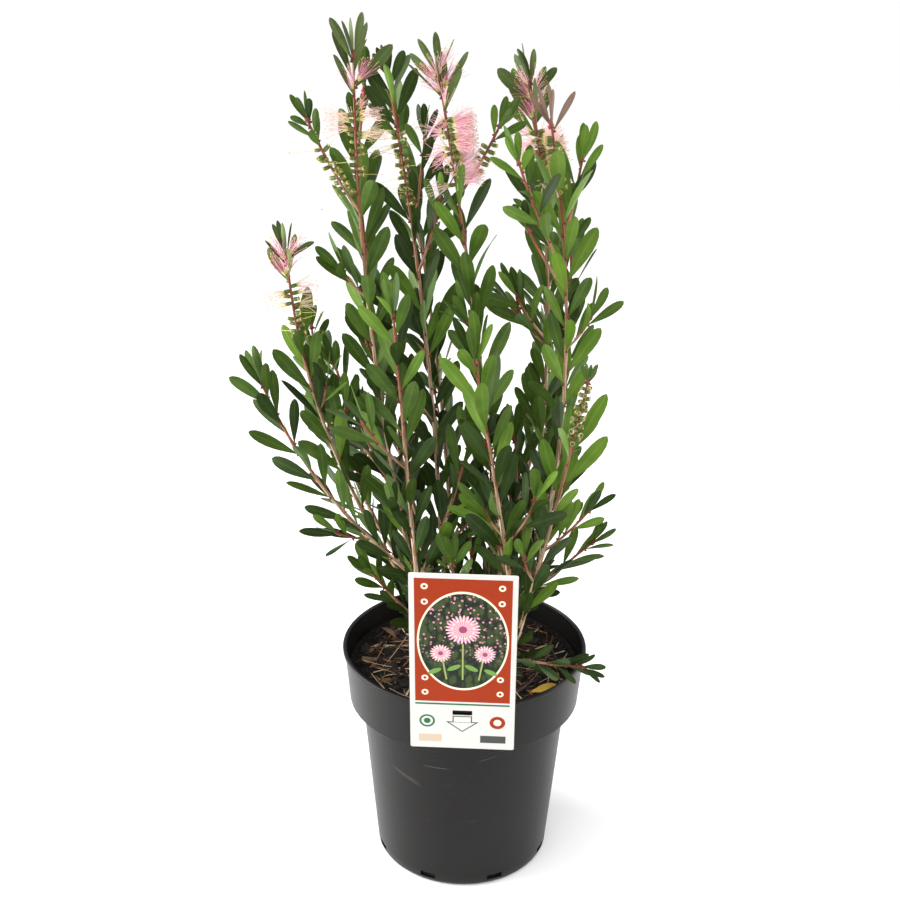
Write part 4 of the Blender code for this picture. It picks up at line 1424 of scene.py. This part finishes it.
    def build_wood(self, palette: Palette) -> None:
        """Build the stem and the bare limbs as one piece that replaces theirs."""
        stations = []
        for bend in (math.pi / 2.0, math.pi / 3.0, math.pi / 6.0, 0.0):
            reach = between((self.stem_foot_radius, self.stem_radius), math.cos(bend))
            stations.append((0.0054 * (1.0 - math.sin(bend)), reach))
        for share, reach in ((0.40, 0.0092), (0.55, 0.0090), (0.75, 0.0088), (0.90, 0.0082), (0.99, 0.0074),
                             (1.0, 0.0040)):
            stations.append((self.stem_height * share, reach))
        item = Bench.loft("stem_pattern", 24, stations)
        Bench.edit(item)
        bpy.ops.mesh.subdivide(number_cuts=2)
        bpy.ops.transform.translate(value=(0.0, 0.0, self.ground))
        Bench.roughen(Bench.close(item, item.name), 0.0035, 0.0016)
        stem = Pattern.of(item)
        batch = Batch("stem_and_canes")
        grain = stem.points * np.array([110.0, 110.0, 1.0])
        batch.add(stem, stem.points, "bark_stringy", grain=grain, youth=np.full(len(grain), 0.1))
        replaced = ["stem"]
        for shoot in self.shoots:
            if shoot.cane.limb:
                path = self.limb_path(shoot.cane, shoot)
                self.add_limb(batch, path, (self.cane_foot_radius, self.cane_radius), (0.0, 0.0))
                replaced.append("cane_" + shoot.cane.name)
        wood = batch.build(palette, "bark", 60.0)
        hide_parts(*replaced)

    def build_shoot_stems(self, palette: Palette) -> None:
        """Build the stems and twigs of every shoot, with the bud at each tip."""
        batch = Batch("shoot_stems")
        buds = Batch("tip_buds")
        for shoot in self.shoots:
            for stem in shoot.stems:
                self.add_limb(batch, stem.path, stem.radii, stem.youth)
                heading = stem.path.heading(1.0)
                shape = self.patterns.bud.points * np.array(self.tip_bud) * self.rng.uniform(0.8, 1.15)
                root = stem.path.end - heading * self.bud_seat
                points = placed(shape, root, basis_of(heading, heading.orthogonal()))
                buds.add(self.patterns.bud, points, "bud_russet")
        self.stems_piece = batch.build(palette, "bark", 60.0)
        buds.build(palette, "foliage", 40.0)

    def solids(self) -> list[BVHTree]:
        """Search trees of the pot, the tag and the wood."""
        nodes = frame["nodes"]
        items = (nodes["pot"], nodes["plant_tag"], self.stems_piece, bpy.data.objects["stem_and_canes"])
        return [tree_of(item) for item in items]

    def grow_spike(self, stem: Stem, spike: Spike) -> None:
        """Set flowers along one spike, most of them in two ranks and the rest in a spiral."""
        path = stem.path
        habit = BLOOM_HABITS[spike.bloom]
        stretch = (spike.end - spike.start) * path.length()
        count = max(3, round(stretch / (self.cup_pitch * habit.pitch)))
        turn = self.rng.uniform(0.0, math.tau)
        for index in range(count):
            rise = (index + self.rng.uniform(0.25, 0.75)) / count
            share = between((spike.start, spike.end), rise)
            heading = path.heading(share)
            turn += GOLDEN_TURN
            ranked = math.pi * (index % 2) + self.rng.gauss(0.0, self.rank_wander)
            out = heading.cross(Vector((0.0, 1.0, 0.0))).normalized()
            free = habit.fruit or index % (2 if habit.spread > 0.5 else self.free_cup) == 0
            out.rotate(Matrix.Rotation(turn if free else ranked, 3, heading))
            aim = (out + heading * self.rng.uniform(*self.cup_tilt)).normalized()
            radius = stem.radius(share)
            size = self.rng.uniform(*self.cup_scales) * (1.12 - 0.25 * rise if habit.fruit else 1.0)
            if spike.bloom is Bloom.BUDS:
                self.add_bud(path.point(share) + out * radius * self.leaf_seat, (aim + heading).normalized())
                continue
            root = path.point(share) + out * radius * self.cup_seat
            mouth = self.add_cup(root, aim, heading, size, habit.fruit)
            if self.rng.random() >= between(habit.bare, rise):
                number = round(between(habit.stamens, rise))
                finish = habit.finishes[self.rng.random() < 0.10 + 0.90 * rise]
                self.add_stamens(mouth, aim, number, habit.spread, 1.0, finish, habit.anther)
            elif self.rng.random() < habit.styled:
                self.add_style(mouth, aim)

    def add_bud(self, root: Vector, aim: Vector) -> None:
        """Add a small closed rose bud."""
        scale = np.array(self.rose_bud) * self.rng.uniform(0.8, 1.2)
        points = placed(self.patterns.bud.points * scale, root, basis_of(aim, aim.orthogonal()))
        self.cups.add(self.patterns.bud, points, "bud_rose")

    def open_axil(self, root: Vector, aim: Vector, heading: Vector) -> None:
        """Open a flower beside a leaf, its stamens lying along the leaf's face.

        Args:
            root: Foot of the leaf.
            aim: Direction of the leaf.
            heading: Direction of the stem.
        """
        way = (aim + heading * 0.12).normalized()
        mouth = self.add_cup(root + heading * self.axil_lift, way, heading, self.axil_cup, False)
        finish = self.rng.choice(("stamen_rose", "stamen_pink"))
        self.add_stamens(mouth, way, self.axil_stamens, self.axil_spread, 1.08, finish, "anther_yellow")

    def add_cup(self, root: Vector, aim: Vector, heading: Vector, size: float, fruit: bool) -> Vector:
        """Add a flower cup.

        Args:
            root: Where it sits on the stem.
            aim: Where it points.
            heading: Direction of the stem.
            size: Size against the usual one.
            fruit: Whether it has set fruit.

        Returns:
            The middle of its mouth.
        """
        width = self.cup_radius * size * (1.12 if fruit else 1.0)
        scale = np.array([width, width, self.cup_length * size * (0.86 if fruit else 1.0)])
        points = placed(self.patterns.cup.points * scale, root, basis_of(aim, heading))
        body = "cup_green" if fruit or self.rng.random() < self.green_cups else "cup_olive"
        kind = "fruit" if fruit else "cup"
        self.cups.add(self.patterns.cup, points, body, {Part.LIP: kind + "_lip", Part.HEART: kind + "_heart"})
        return root + aim * self.cup_length * size * self.cup_mouth

    def add_stamens(self, mouth: Vector, aim: Vector, number: int, spread: float, size: float,
                    finish: str, anther: str) -> None:
        """Add a tuft of stamens.

        Args:
            mouth: Middle of the cup's mouth.
            aim: Middle direction of the tuft.
            number: Number of stamens.
            spread: Widest angle from the middle direction, in radians.
            size: Length against the usual one.
            finish: Finish of the filaments.
            anther: Finish of the anthers.
        """
        dressing = {Part.FOOT: "stamen_foot", Part.TIP: anther}
        for index in range(number):
            side = beside(aim, index * GOLDEN_TURN + self.rng.uniform(-0.3, 0.3))
            angle = spread * math.sqrt((index + 0.5) / number) * self.rng.uniform(0.85, 1.15)
            way = swung(aim, side, angle).normalized()
            length = self.stamen_length * size * self.rng.uniform(*self.stamen_scales)
            shape = curled(self.patterns.stamen.points, (self.stamen_radius, self.stamen_radius, length), 0.0,
                           self.rng.gauss(*self.stamen_curl), 0.0)
            root = mouth + side * self.cup_radius * self.stamen_ring
            points = placed(shape, root, basis_of(way, side * -1.0, self.rng.uniform(-0.8, 0.8)))
            self.stamens.add(self.patterns.stamen, points, finish, dressing)

    def add_style(self, mouth: Vector, aim: Vector) -> None:
        """Add the lone style that stays on a spent flower."""
        side = beside(aim, self.rng.uniform(0.0, math.tau))
        way = (aim + side * self.rng.uniform(0.0, 0.25)).normalized()
        length = self.style_length * self.rng.uniform(*self.style_scales)
        radius = self.stamen_radius * 1.3
        shape = curled(self.patterns.stamen.points, (radius, radius, length), 0.0,
                       self.rng.uniform(-0.15, 0.15), 0.0)
        points = placed(shape, mouth - aim * 0.0008, basis_of(way, side))
        self.styles.add(self.patterns.stamen, points, "style_straw", {Part.TIP: "anther_dark"})

    def build_leaves(self, palette: Palette) -> None:
        """Grow the leaves shoot by shoot, in pieces that replace the shoots' nodes."""
        thicket = Thicket(self.solids(), self.ground + 0.0015)
        half = len(self.shoots) // 2
        self.scars = Batch("leaf_scars")
        for name, shoots in (("leaves_first", self.shoots[:half]), ("leaves_second", self.shoots[half:])):
            batch = Batch(name)
            for shoot in shoots:
                lower = Stem(self.limb_path(shoot.cane, shoot), (self.cane_foot_radius, self.cane_radius),
                             (0.0, 0.0), (), self.limb_first, LeafTone.DEEP, LeafTone.DEEP, self.limb_vigour,
                             budded=False)
                for stem in shoot.stems + ([lower] if shoot.cane.limb else []):
                    self.grow_leaves(batch, stem, thicket)
            leaves = batch.build(palette, "foliage", 70.0)
            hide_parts(*("shoot_" + shoot.cane.name for shoot in shoots))
        self.scars.build(palette, "bark", 60.0)

    def grow_leaves(self, batch: Batch, stem: Stem, thicket: Thicket) -> None:
        """Set leaves in a spiral along one stem, and skip those that find no room."""
        length = stem.path.length()
        turn = self.rng.uniform(0.0, math.tau)
        share = stem.first + self.leaf_pitch / length / 2.0
        axils = stem.axils
        while share < 1.0:
            tuft = max(0.0, 1.0 - (1.0 - share) * length / self.tuft_length) if stem.budded else 0.0
            above = bool(stem.spikes) and share > stem.spikes[-1].end
            if not any(spike.start - 0.01 < share < spike.end for spike in stem.spikes):
                angle = between((self.leaf_angle, self.tuft_angle), tuft)
                opens = above and axils > 0
                angle *= self.axil_opening if opens else 1.0
                if self.try_leaf(batch, stem, share, turn, tuft, angle, opens, thicket) and opens:
                    axils -= 1
            turn += GOLDEN_TURN
            pitch = self.leaf_pitch * (self.crown_pitch if above else 1.0) * (1.0 - self.tuft_crowding * tuft)
            share += pitch / length * min(1.0, self.leaf_scale(stem, share, tuft))
        for _ in range((3 if length > 0.06 else 2) if stem.budded else 0):
            self.try_leaf(batch, stem, 0.995, turn, 1.0, self.whorl_angle, False, thicket)
            turn += math.tau / 3.0

    def leaf_scale(self, stem: Stem, share: float, tuft: float) -> float:
        """Usual scale of the leaves at one place: small at the tip and low in the crown."""
        low = min(1.0, self.low_scale + (stem.path.point(share).z - self.low_height) * 2.0)
        return stem.vigour * (1.0 + (stem.tuft - 1.0) * tuft) * low

    def leaf_tone(self, stem: Stem, tuft: float, height: float) -> LeafTone:
        """Tone of one leaf, mostly that of its spray, and often the deep green low in the crown, partly for
        older leaves and partly as painted shade.
        """
        depth = self.tuft_core if stem.tip_tone is LeafTone.BRONZE else 0.0
        tipped = stem.tip_tone is not stem.tone and tuft > depth
        main = stem.tip_tone if tipped else stem.tone
        # Painted shade and age: the lower the leaf, the likelier the deep green.
        if not tipped and self.rng.random() < (self.shade_and_age_height - height) / self.shade_and_age_depth:
            return LeafTone.DEEP
        if tipped or self.rng.random() < self.own_tone:
            return main
        return self.rng.choice((LeafTone.FRESH, LeafTone.MID, LeafTone.MID, LeafTone.DEEP))

    def try_leaf(self, batch: Batch, stem: Stem, share: float, turn: float, tuft: float,
                 angle: float, opens: bool, thicket: Thicket) -> bool:
        """Add one leaf, turned a little until it finds room.

        Args:
            batch: Batch of leaves.
            stem: Stem that carries it.
            share: Where on the stem.
            turn: Side of the stem, in radians.
            tuft: How deep in the tip tuft, from 0 to 1.
            angle: Angle from the stem, in radians.
            opens: Whether a flower opens beside it.
            thicket: What is already there.

        Returns:
            Whether it found room.
        """
        rng = self.rng
        pattern = self.patterns.leaf
        heading = stem.path.heading(share)
        scale = rng.uniform(*self.leaf_scales) * self.leaf_scale(stem, share, tuft)
        radius = stem.radius(share)
        front = rng.choice((-1.0, 1.0))
        ring = [np.argmin(np.abs(pattern.points[:, 2] - station) + np.abs(pattern.points[:, 1] - side))
                for station, side in self.blade_ring]
        for attempt in range(self.leaf_tries):
            out = beside(heading, turn + self.retry_turn * attempt * (-1.0) ** attempt)
            aim = swung(heading, out, angle * rng.uniform(0.75, 1.25)).normalized()
            bearing = rng.gauss(0.0, 0.5) if rng.random() < 0.7 else rng.uniform(-1.6, 1.6)
            face = Vector((math.sin(bearing), math.cos(bearing) * front, rng.uniform(0.0, 0.5)))
            if face.dot(out) > 0.35:
                face.negate()
            narrow = TIP_WIDTHS.get(stem.tip_tone, 1.0) if tuft > self.tuft_core else 1.0
            width = self.leaf_width * scale * narrow * rng.uniform(0.9, 1.1)
            size = (self.leaf_depth, width / 2.0, self.leaf_length * scale)
            shape = curled(pattern.points, size, rng.uniform(*self.leaf_fold), rng.gauss(*self.leaf_curl),
                           rng.gauss(0.0, self.leaf_twist))
            root = stem.path.point(share) + out * radius * self.leaf_seat
            points = placed(shape, root, basis_of(aim, face))
            if not thicket.claim(points[ring]):
                continue
            blade = self.blade.copy()
            blade[:, 2] = rng.random()
            batch.add(pattern, points, self.leaf_tone(stem, tuft, root.z).value, blade=blade)
            knot = placed(self.patterns.scar.points * np.array(self.knot),
                          root - out * radius * 0.2, basis_of(out, heading))
            self.scars.add(self.patterns.scar, knot, "leaf_scar")
            if opens:
                self.open_axil(root, aim, heading)
            return True
        return False


# The pot, its mix and the tag


@dataclass
class Pot:
    """Thin round pot with a deep collar, a rolled rim and drain slots round its foot."""
    height: float = 0.1902
    rim_radius: float = 0.1000
    rim_depth: float = 0.0028
    collar_top_radius: float = 0.0985
    collar_foot_radius: float = 0.0946
    collar_foot_height: float = 0.1433
    body_top_radius: float = 0.0848
    body_foot_radius: float = 0.0717
    foot_corner: float = 0.0045
    wall: float = 0.0018
    floor: float = 0.0030
    steps: int = 160
    slots: int = 8
    slot_size: Point = (0.012, 0.013, 0.0044)
    slot_lift: float = 0.0045

    def build(self, palette: Palette) -> None:
        """Spin the pot, cut its slots, soften its edges and dress it."""
        slope = (self.body_top_radius - self.body_foot_radius) / self.collar_foot_height
        shelf = self.collar_foot_height + self.wall
        inner = self.collar_top_radius - self.wall
        roll = self.height - self.rim_depth
        profile = [
            (0.0, self.floor),
            (self.body_foot_radius + slope * self.floor - self.wall, self.floor),
            (self.body_top_radius - self.wall, shelf),
            (self.collar_foot_radius - self.wall, shelf),
            (inner, roll),
            (inner + 0.0001, self.height - 0.0006),
            (inner + 0.0006, self.height),
            (self.rim_radius - 0.0008, self.height),
            (self.rim_radius, self.height - 0.0008),
            (self.rim_radius, roll + 0.0006),
            (self.rim_radius - 0.0006, roll),
            (self.collar_top_radius, roll - 0.0002),
            (self.collar_foot_radius + 0.0001, self.collar_foot_height + 0.0012),
            (self.collar_foot_radius - 0.0009, self.collar_foot_height + 0.0001),
            (self.collar_foot_radius - 0.0022, self.collar_foot_height),
            (self.body_top_radius + 0.0010, self.collar_foot_height),
            (self.body_top_radius, self.collar_foot_height - 0.0010),
            *((self.body_foot_radius + slope * height, height)
              for height in (0.110, 0.070, 0.035, 0.018, 0.014, 0.011)),
            (self.body_foot_radius + slope * self.foot_corner, self.foot_corner),
            (self.body_foot_radius - self.foot_corner * 0.10, self.foot_corner * 0.62),
            (self.body_foot_radius - self.foot_corner * 0.34, self.foot_corner * 0.26),
            (self.body_foot_radius - self.foot_corner * 0.66, self.foot_corner * 0.06),
            (self.body_foot_radius - self.foot_corner, 0.0),
            (0.0, 0.0),
        ]
        pot = Bench.spun("pot_body", profile, self.steps)
        cutters = []
        half = tuple(size / 2.0 for size in self.slot_size)
        for index in range(self.slots):
            cutter = Bench.block("slot_cutter", tuple(-size for size in half), half)
            turn = Matrix.Rotation(math.tau * (index + 0.5) / self.slots, 4, "Z")
            place = Matrix.Translation((0.0, 0.0, self.floor + self.slot_lift)) @ turn
            cutter.data.transform(place @ Matrix.Translation((self.body_foot_radius, 0.0, 0.0)))
            cutters.append(cutter)
        Bench.subtract(pot, Bench.join(cutters))
        pot.data.materials.clear()
        pot.data.materials.append(palette["pot_charcoal_plastic"])
        Bench.smooth(pot, 32.0)
        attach(pot, "root")
        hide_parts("pot")
        LOG.info("pot_body: %d faces", len(pot.data.polygons))


@dataclass
class PottingMix:
    """Potting mix with a rough crown, bark chips, dry straw and a few fallen leaves."""
    crown: float = 0.1760
    edge: float = 0.1720
    edge_radius: float = 0.0944
    shelf: float = 0.1454
    shelf_radius: float = 0.0922
    neck_radius: float = 0.0824
    foot_radius: float = 0.0698
    foot: float = 0.0033
    chips: int = 620
    straws: int = 400
    rings: int = 40
    heart: float = 0.004
    chip_sizes: tuple[float, float] = (0.0012, 0.0040)
    straw_lengths: tuple[float, float] = (0.008, 0.046)
    straw_radii: tuple[float, float] = (0.00013, 0.00032)
    chip_shares: tuple[Sequence, Sequence] = (("chip_black", "chip_brown", "chip_tan"), (0.72, 0.22, 0.06))
    straw_shares: tuple[Sequence, Sequence] = (("straw_orange", "straw_pale", "straw_brown"),
                                               (0.26, 0.30, 0.44))

    def build(self, palette: Palette) -> None:
        """Build the mix, with the chips and straw that lie on it."""
        self.rng = random.Random(31)
        stations = [(self.foot, self.foot_radius), (self.shelf, self.neck_radius),
                    (self.shelf + 0.0004, self.shelf_radius), (self.edge, self.edge_radius)]
        for ring in range(1, self.rings + 1):
            share = ring / self.rings
            height = between((self.edge, self.crown), min(1.0, share * 1.35))
            stations.append((height, self.edge_radius * (1.0 - share) + self.heart * share))
        mix = Bench.loft("potting_mix_bed", 168, stations)
        group = mix.vertex_groups.new(name="top")
        for vert in mix.data.vertices:
            reach = math.hypot(vert.co.x, vert.co.y)
            if vert.co.z >= self.edge - 0.0001 and reach < self.edge_radius - 0.0005:
                group.add([vert.index], min(1.0, (self.edge_radius - reach) / 0.004), "REPLACE")
        for size, depth in ((0.011, 0.0050), (0.0040, 0.0032), (0.0018, 0.0014)):
            Bench.roughen(mix, size, depth, 0.62, vertex_group="top", direction="Z")
        mix.data.materials.append(palette["potting_mix_crumb"])
        Bench.smooth(mix, 60.0)
        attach(mix, "root")
        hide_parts("potting_mix")
        self.surface = tree_of(mix)
        self.scatter(palette)

    def top(self, x: float, y: float) -> tuple[Vector, Vector]:
        """Point of the surface below a place, and the normal there."""
        point, normal, _, _ = self.surface.ray_cast(Vector((x, y, 0.25)), Vector((0.0, 0.0, -1.0)))
        return point, normal

    def spot(self, reach: float) -> tuple[float, float]:
        """Random place inside a radius and off the stem."""
        while True:
            x = self.rng.uniform(-reach, reach)
            y = self.rng.uniform(-reach, reach)
            if 0.017 < math.hypot(x, y) < reach:
                return x, y

    def chip_pattern(self, seed: int) -> Pattern:
        """Rough chip of bark."""
        item = Bench.block("chip_pattern", (-0.5, -1.0, -0.25), (0.5, 1.0, 0.25))
        Bench.edit(item)
        bpy.ops.mesh.subdivide(number_cuts=1)
        bpy.ops.transform.vertex_random(offset=0.22, seed=seed)
        return Pattern.of(Bench.close(item, item.name))

    def scatter(self, palette: Palette) -> None:
        """Lay the chips and the straw on the surface."""
        rng = self.rng
        batch = Batch("litter")
        patterns = [self.chip_pattern(seed) for seed in (3, 8, 21, 34)]
        for _ in range(self.chips):
            x, y = self.spot(self.edge_radius - 0.006)
            point, normal = self.top(x, y)
            size = rng.uniform(*self.chip_sizes) * (1.7 if rng.random() < 0.10 else 1.0)
            face = (normal + Vector([rng.gauss(0, 0.35) for _ in range(3)])).normalized()
            aim = face.orthogonal()
            aim.rotate(Matrix.Rotation(rng.uniform(0.0, math.tau), 3, face))
            axes = (aim.cross(face).normalized(), aim.normalized(), face)
            shape = patterns[rng.randrange(len(patterns))].points * size
            finish = rng.choices(*self.chip_shares)[0]
            batch.add(patterns[0], placed(shape, point + normal * size * 0.12, axes), finish)
        straw = Pattern.of(Bench.loft("straw_pattern", 5, [(step / 6.0, 1.0) for step in range(7)]))
        for _ in range(self.straws):
            x, y = self.spot(self.edge_radius - 0.010)
            length = rng.uniform(*self.straw_lengths)
            way = heading_from(rng.uniform(0.0, math.tau))
            ends = [Vector((x, y, 0.0)) + way * length * side for side in (-0.5, 0.0, 0.5)]
            if any(math.hypot(end.x, end.y) > self.edge_radius - 0.004 for end in ends):
                continue
            heights = [self.top(end.x, end.y)[0].z for end in ends]
            lift = max(0.0, heights[1] - (heights[0] + heights[2]) / 2.0)
            radius = rng.uniform(*self.straw_radii)
            low = Vector((ends[0].x, ends[0].y, heights[0] + lift + radius))
            high = Vector((ends[2].x, ends[2].y, heights[2] + lift + radius + rng.uniform(0.0, 0.0015)))
            aim = high - low
            shape = curled(straw.points, (radius, radius * rng.uniform(1.0, 2.6), aim.length), 0.0,
                           rng.gauss(0.0, 0.3), rng.gauss(0.0, 0.8))
            points = placed(shape, low, basis_of(aim, Vector((0.0, 0.0, 1.0)), rng.uniform(-0.6, 0.6)))
            finish = rng.choices(*self.straw_shares)[0]
            batch.add(straw, points, finish)
        batch.build(palette, "potting_mix", 35.0)

    def drop_leaves(self, palette: Palette, patterns: Patterns) -> None:
        """Lay fallen leaves on the surface."""
        batch = Batch("fallen_leaves")
        for x, y, bearing, length, tone in ((0.052, -0.052, 0.25, 0.026, LeafTone.FALLEN),
                                            (-0.058, 0.030, 2.2, 0.024, LeafTone.BRONZE),
                                            (0.030, 0.062, 4.0, 0.028, LeafTone.FALLEN),
                                            (-0.030, -0.055, 5.2, 0.022, LeafTone.BRONZE)):
            point, normal = self.top(x, y)
            shape = curled(patterns.leaf.points, (0.0003, length * 0.20, length), 0.35, -0.35, 0.3)
            basis = basis_of(heading_from(bearing, 0.16), normal)
            points = placed(shape, point + Vector((0.0, 0.0, 0.0025)), basis)
            batch.add(patterns.leaf, points, tone.value, blade=patterns.blade())
        batch.build(palette, "foliage", 70.0)


@dataclass
class Tag:
    """Tall printed card that hangs outside the rim, with a slot; its arrow flap is not modelled, only its
    shadow painted as a dark outline on the face.
    """
    width: float = 0.0796
    length: float = 0.1606
    thickness: float = 0.0008
    centre: Point = (-0.0010, -0.1060, 0.2311)
    tilt: float = math.radians(7.0)
    yaw: float = math.radians(-2.2)
    corner: float = 0.0015
    slot_low: Point = (-0.0075, -0.002, -0.0484)
    slot_high: Point = (0.0075, 0.002, -0.0436)
    tongue_width: float = 0.0130
    tongue_depths: tuple[float, float] = (-0.1012, -0.0935)
    tongue_heights: tuple[float, float] = (0.1908, 0.1916)
    tongue_fold: float = -0.0943
    tongue_drop: float = 0.0133

    def build(self, palette: Palette) -> None:
        """Cut the card, add its tongue and dress both."""
        half = (self.width / 2.0, self.thickness / 2.0, self.length / 2.0)
        card = Bench.block("tag", tuple(-size for size in half), half)
        Bench.pick_edges(card, lambda first, second: abs(first.y - second.y) > half[1])
        bpy.ops.mesh.bevel(offset=self.corner, segments=4, affect="EDGES")
        Bench.close(card, "tag")
        Bench.subtract(card, Bench.block("slot_cutter", self.slot_low, self.slot_high))
        attribute = card.data.attributes.new("card", "FLOAT_VECTOR", "POINT")
        for index, vert in enumerate(card.data.vertices):
            place = (vert.co.x / self.width + 0.5, vert.co.z / self.length + 0.5, 0.0)
            attribute.data[index].vector = place
        lean = Matrix.Rotation(self.yaw, 4, "Z") @ Matrix.Rotation(self.tilt, 4, "X")
        card.data.transform(Matrix.Translation(self.centre) @ lean)
        Bench.join((card, self.model_tongue()))
        card.data.materials.clear()
        card.data.materials.append(CardFinish(self.width / MILLIMETRE, self.length / MILLIMETRE).make())
        card.data.materials.append(palette["card_back"])
        for face in card.data.polygons:
            face.material_index = 0 if face.normal.y < -0.9 and face.area > 0.0003 else 1
        Bench.smooth(card, 30.0)
        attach(card, "root")
        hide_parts("plant_tag")
        LOG.info("tag: %d faces", len(card.data.polygons))

    def model_tongue(self) -> Item:
        """Tongue that folds over the rim and drops inside the pot."""
        left = self.centre[0] - self.tongue_width / 2.0
        right = self.centre[0] + self.tongue_width / 2.0
        low, high = zip((left, right), self.tongue_depths, self.tongue_heights)
        item = Bench.block("tongue", low, high)
        Bench.edit(item)
        bpy.ops.mesh.bisect(plane_co=(0.0, self.tongue_fold, 0.0), plane_no=(0.0, 1.0, 0.0))
        middle = sum(self.tongue_heights) / 2.0
        Bench.pick(item, lambda co: co.y > self.tongue_fold - 0.0001 and co.z < middle)
        drop = (0.0, 0.0, -self.tongue_drop)
        bpy.ops.mesh.extrude_region_move(TRANSFORM_OT_translate={"value": drop})
        return Bench.close(item, "tongue")


# The studio


@dataclass
class Studio:
    """Pale floor, soft lights and the camera at the photograph's viewing angle."""
    focal_pixels: float = 1411.41
    image_pixels: float = 900.0
    sensor: float = 36.0
    place: Point = (0.0, -1.02179, 0.76998)
    pitch: float = math.radians(21.85)
    yaw: float = math.radians(-0.75)
    roll: float = math.radians(0.54)
    surround: float = 0.55

    def build(self) -> None:
        """Build the floor, the lights, the world and the camera."""
        self.add_floor()
        self.add_world()
        self.add_light("key_light", "SUN", (-0.45, -0.60, 1.25), energy=2.0, angle=math.radians(80.0))
        self.add_light("left_softbox", "AREA", (-1.5, 0.05, 0.40), energy=66.0, size=1.4)
        self.add_light("right_softbox", "AREA", (1.6, 0.20, 0.40), energy=38.0, size=1.4)
        self.add_camera()

    def add_floor(self) -> None:
        """Add the floor."""
        Bench.clear()
        bpy.ops.mesh.primitive_plane_add(size=60.0)
        floor = Bench.close(bpy.context.object, "studio_floor")
        floor.data.materials.append(FloorFinish().make())

    def add_world(self) -> None:
        """Light the scene from all round with soft white, and show white beyond the floor."""
        world = bpy.data.worlds.new("studio_world")
        world.use_nodes = True
        tree = world.node_tree
        background = tree.nodes["Background"]
        background.inputs["Color"].default_value = (1.0, 1.0, 1.0, 1.0)
        path, brightness = (tree.nodes.new(kind) for kind in ("ShaderNodeLightPath", "ShaderNodeMapRange"))
        brightness.inputs["To Min"].default_value = self.surround
        tree.links.new(path.outputs["Is Camera Ray"], brightness.inputs["Value"])
        tree.links.new(brightness.outputs["Result"], background.inputs["Strength"])
        bpy.context.scene.world = world
        bpy.context.scene.view_settings.view_transform = "Standard"

    def add_light(self, name: str, kind: str, place: Point, **settings: float) -> None:
        """Add a soft light of a kind at a place, aimed at the crown, with these settings."""
        data = bpy.data.lights.new(name, kind)
        for setting, value in settings.items():
            setattr(data, setting, value)
        light = bpy.data.objects.new(name, data)
        bpy.context.scene.collection.objects.link(light)
        light.location = place
        light.rotation_euler = (Vector((0.0, 0.0, 0.25)) - Vector(place)).to_track_quat("-Z", "Y").to_euler()

    def add_camera(self) -> None:
        """Add the camera."""
        ahead = Vector((math.sin(self.yaw) * math.cos(self.pitch), math.cos(self.yaw) * math.cos(self.pitch),
                        -math.sin(self.pitch)))
        right = Vector((math.cos(self.yaw), -math.sin(self.yaw), 0.0))
        above = right.cross(ahead)
        cosine, sine = math.cos(self.roll), math.sin(self.roll)
        data = bpy.data.cameras.new("camera")
        data.sensor_width = self.sensor
        data.lens = self.sensor * self.focal_pixels / self.image_pixels
        camera = bpy.data.objects.new("camera", data)
        bpy.context.scene.collection.objects.link(camera)
        axes = Matrix((right * cosine + above * sine, above * cosine - right * sine, ahead * -1.0))
        camera.matrix_world = Matrix.Translation(self.place) @ axes.transposed().to_4x4()
        bpy.context.scene.camera = camera


def write_sizes() -> None:
    """Bring the view layer up to date."""
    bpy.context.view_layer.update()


def main() -> None:
    """Build every sub-assembly in order."""
    logging.basicConfig(level=logging.INFO, format="%(message)s")
    palette = Palette()
    Studio().build()
    Pot().build(palette)
    mix = PottingMix()
    mix.build(palette)
    Tag().build(palette)
    plant = Plant()
    plant.build(palette)
    mix.drop_leaves(palette, plant.patterns)
    write_sizes()


if __name__ == "__main__":
    main()
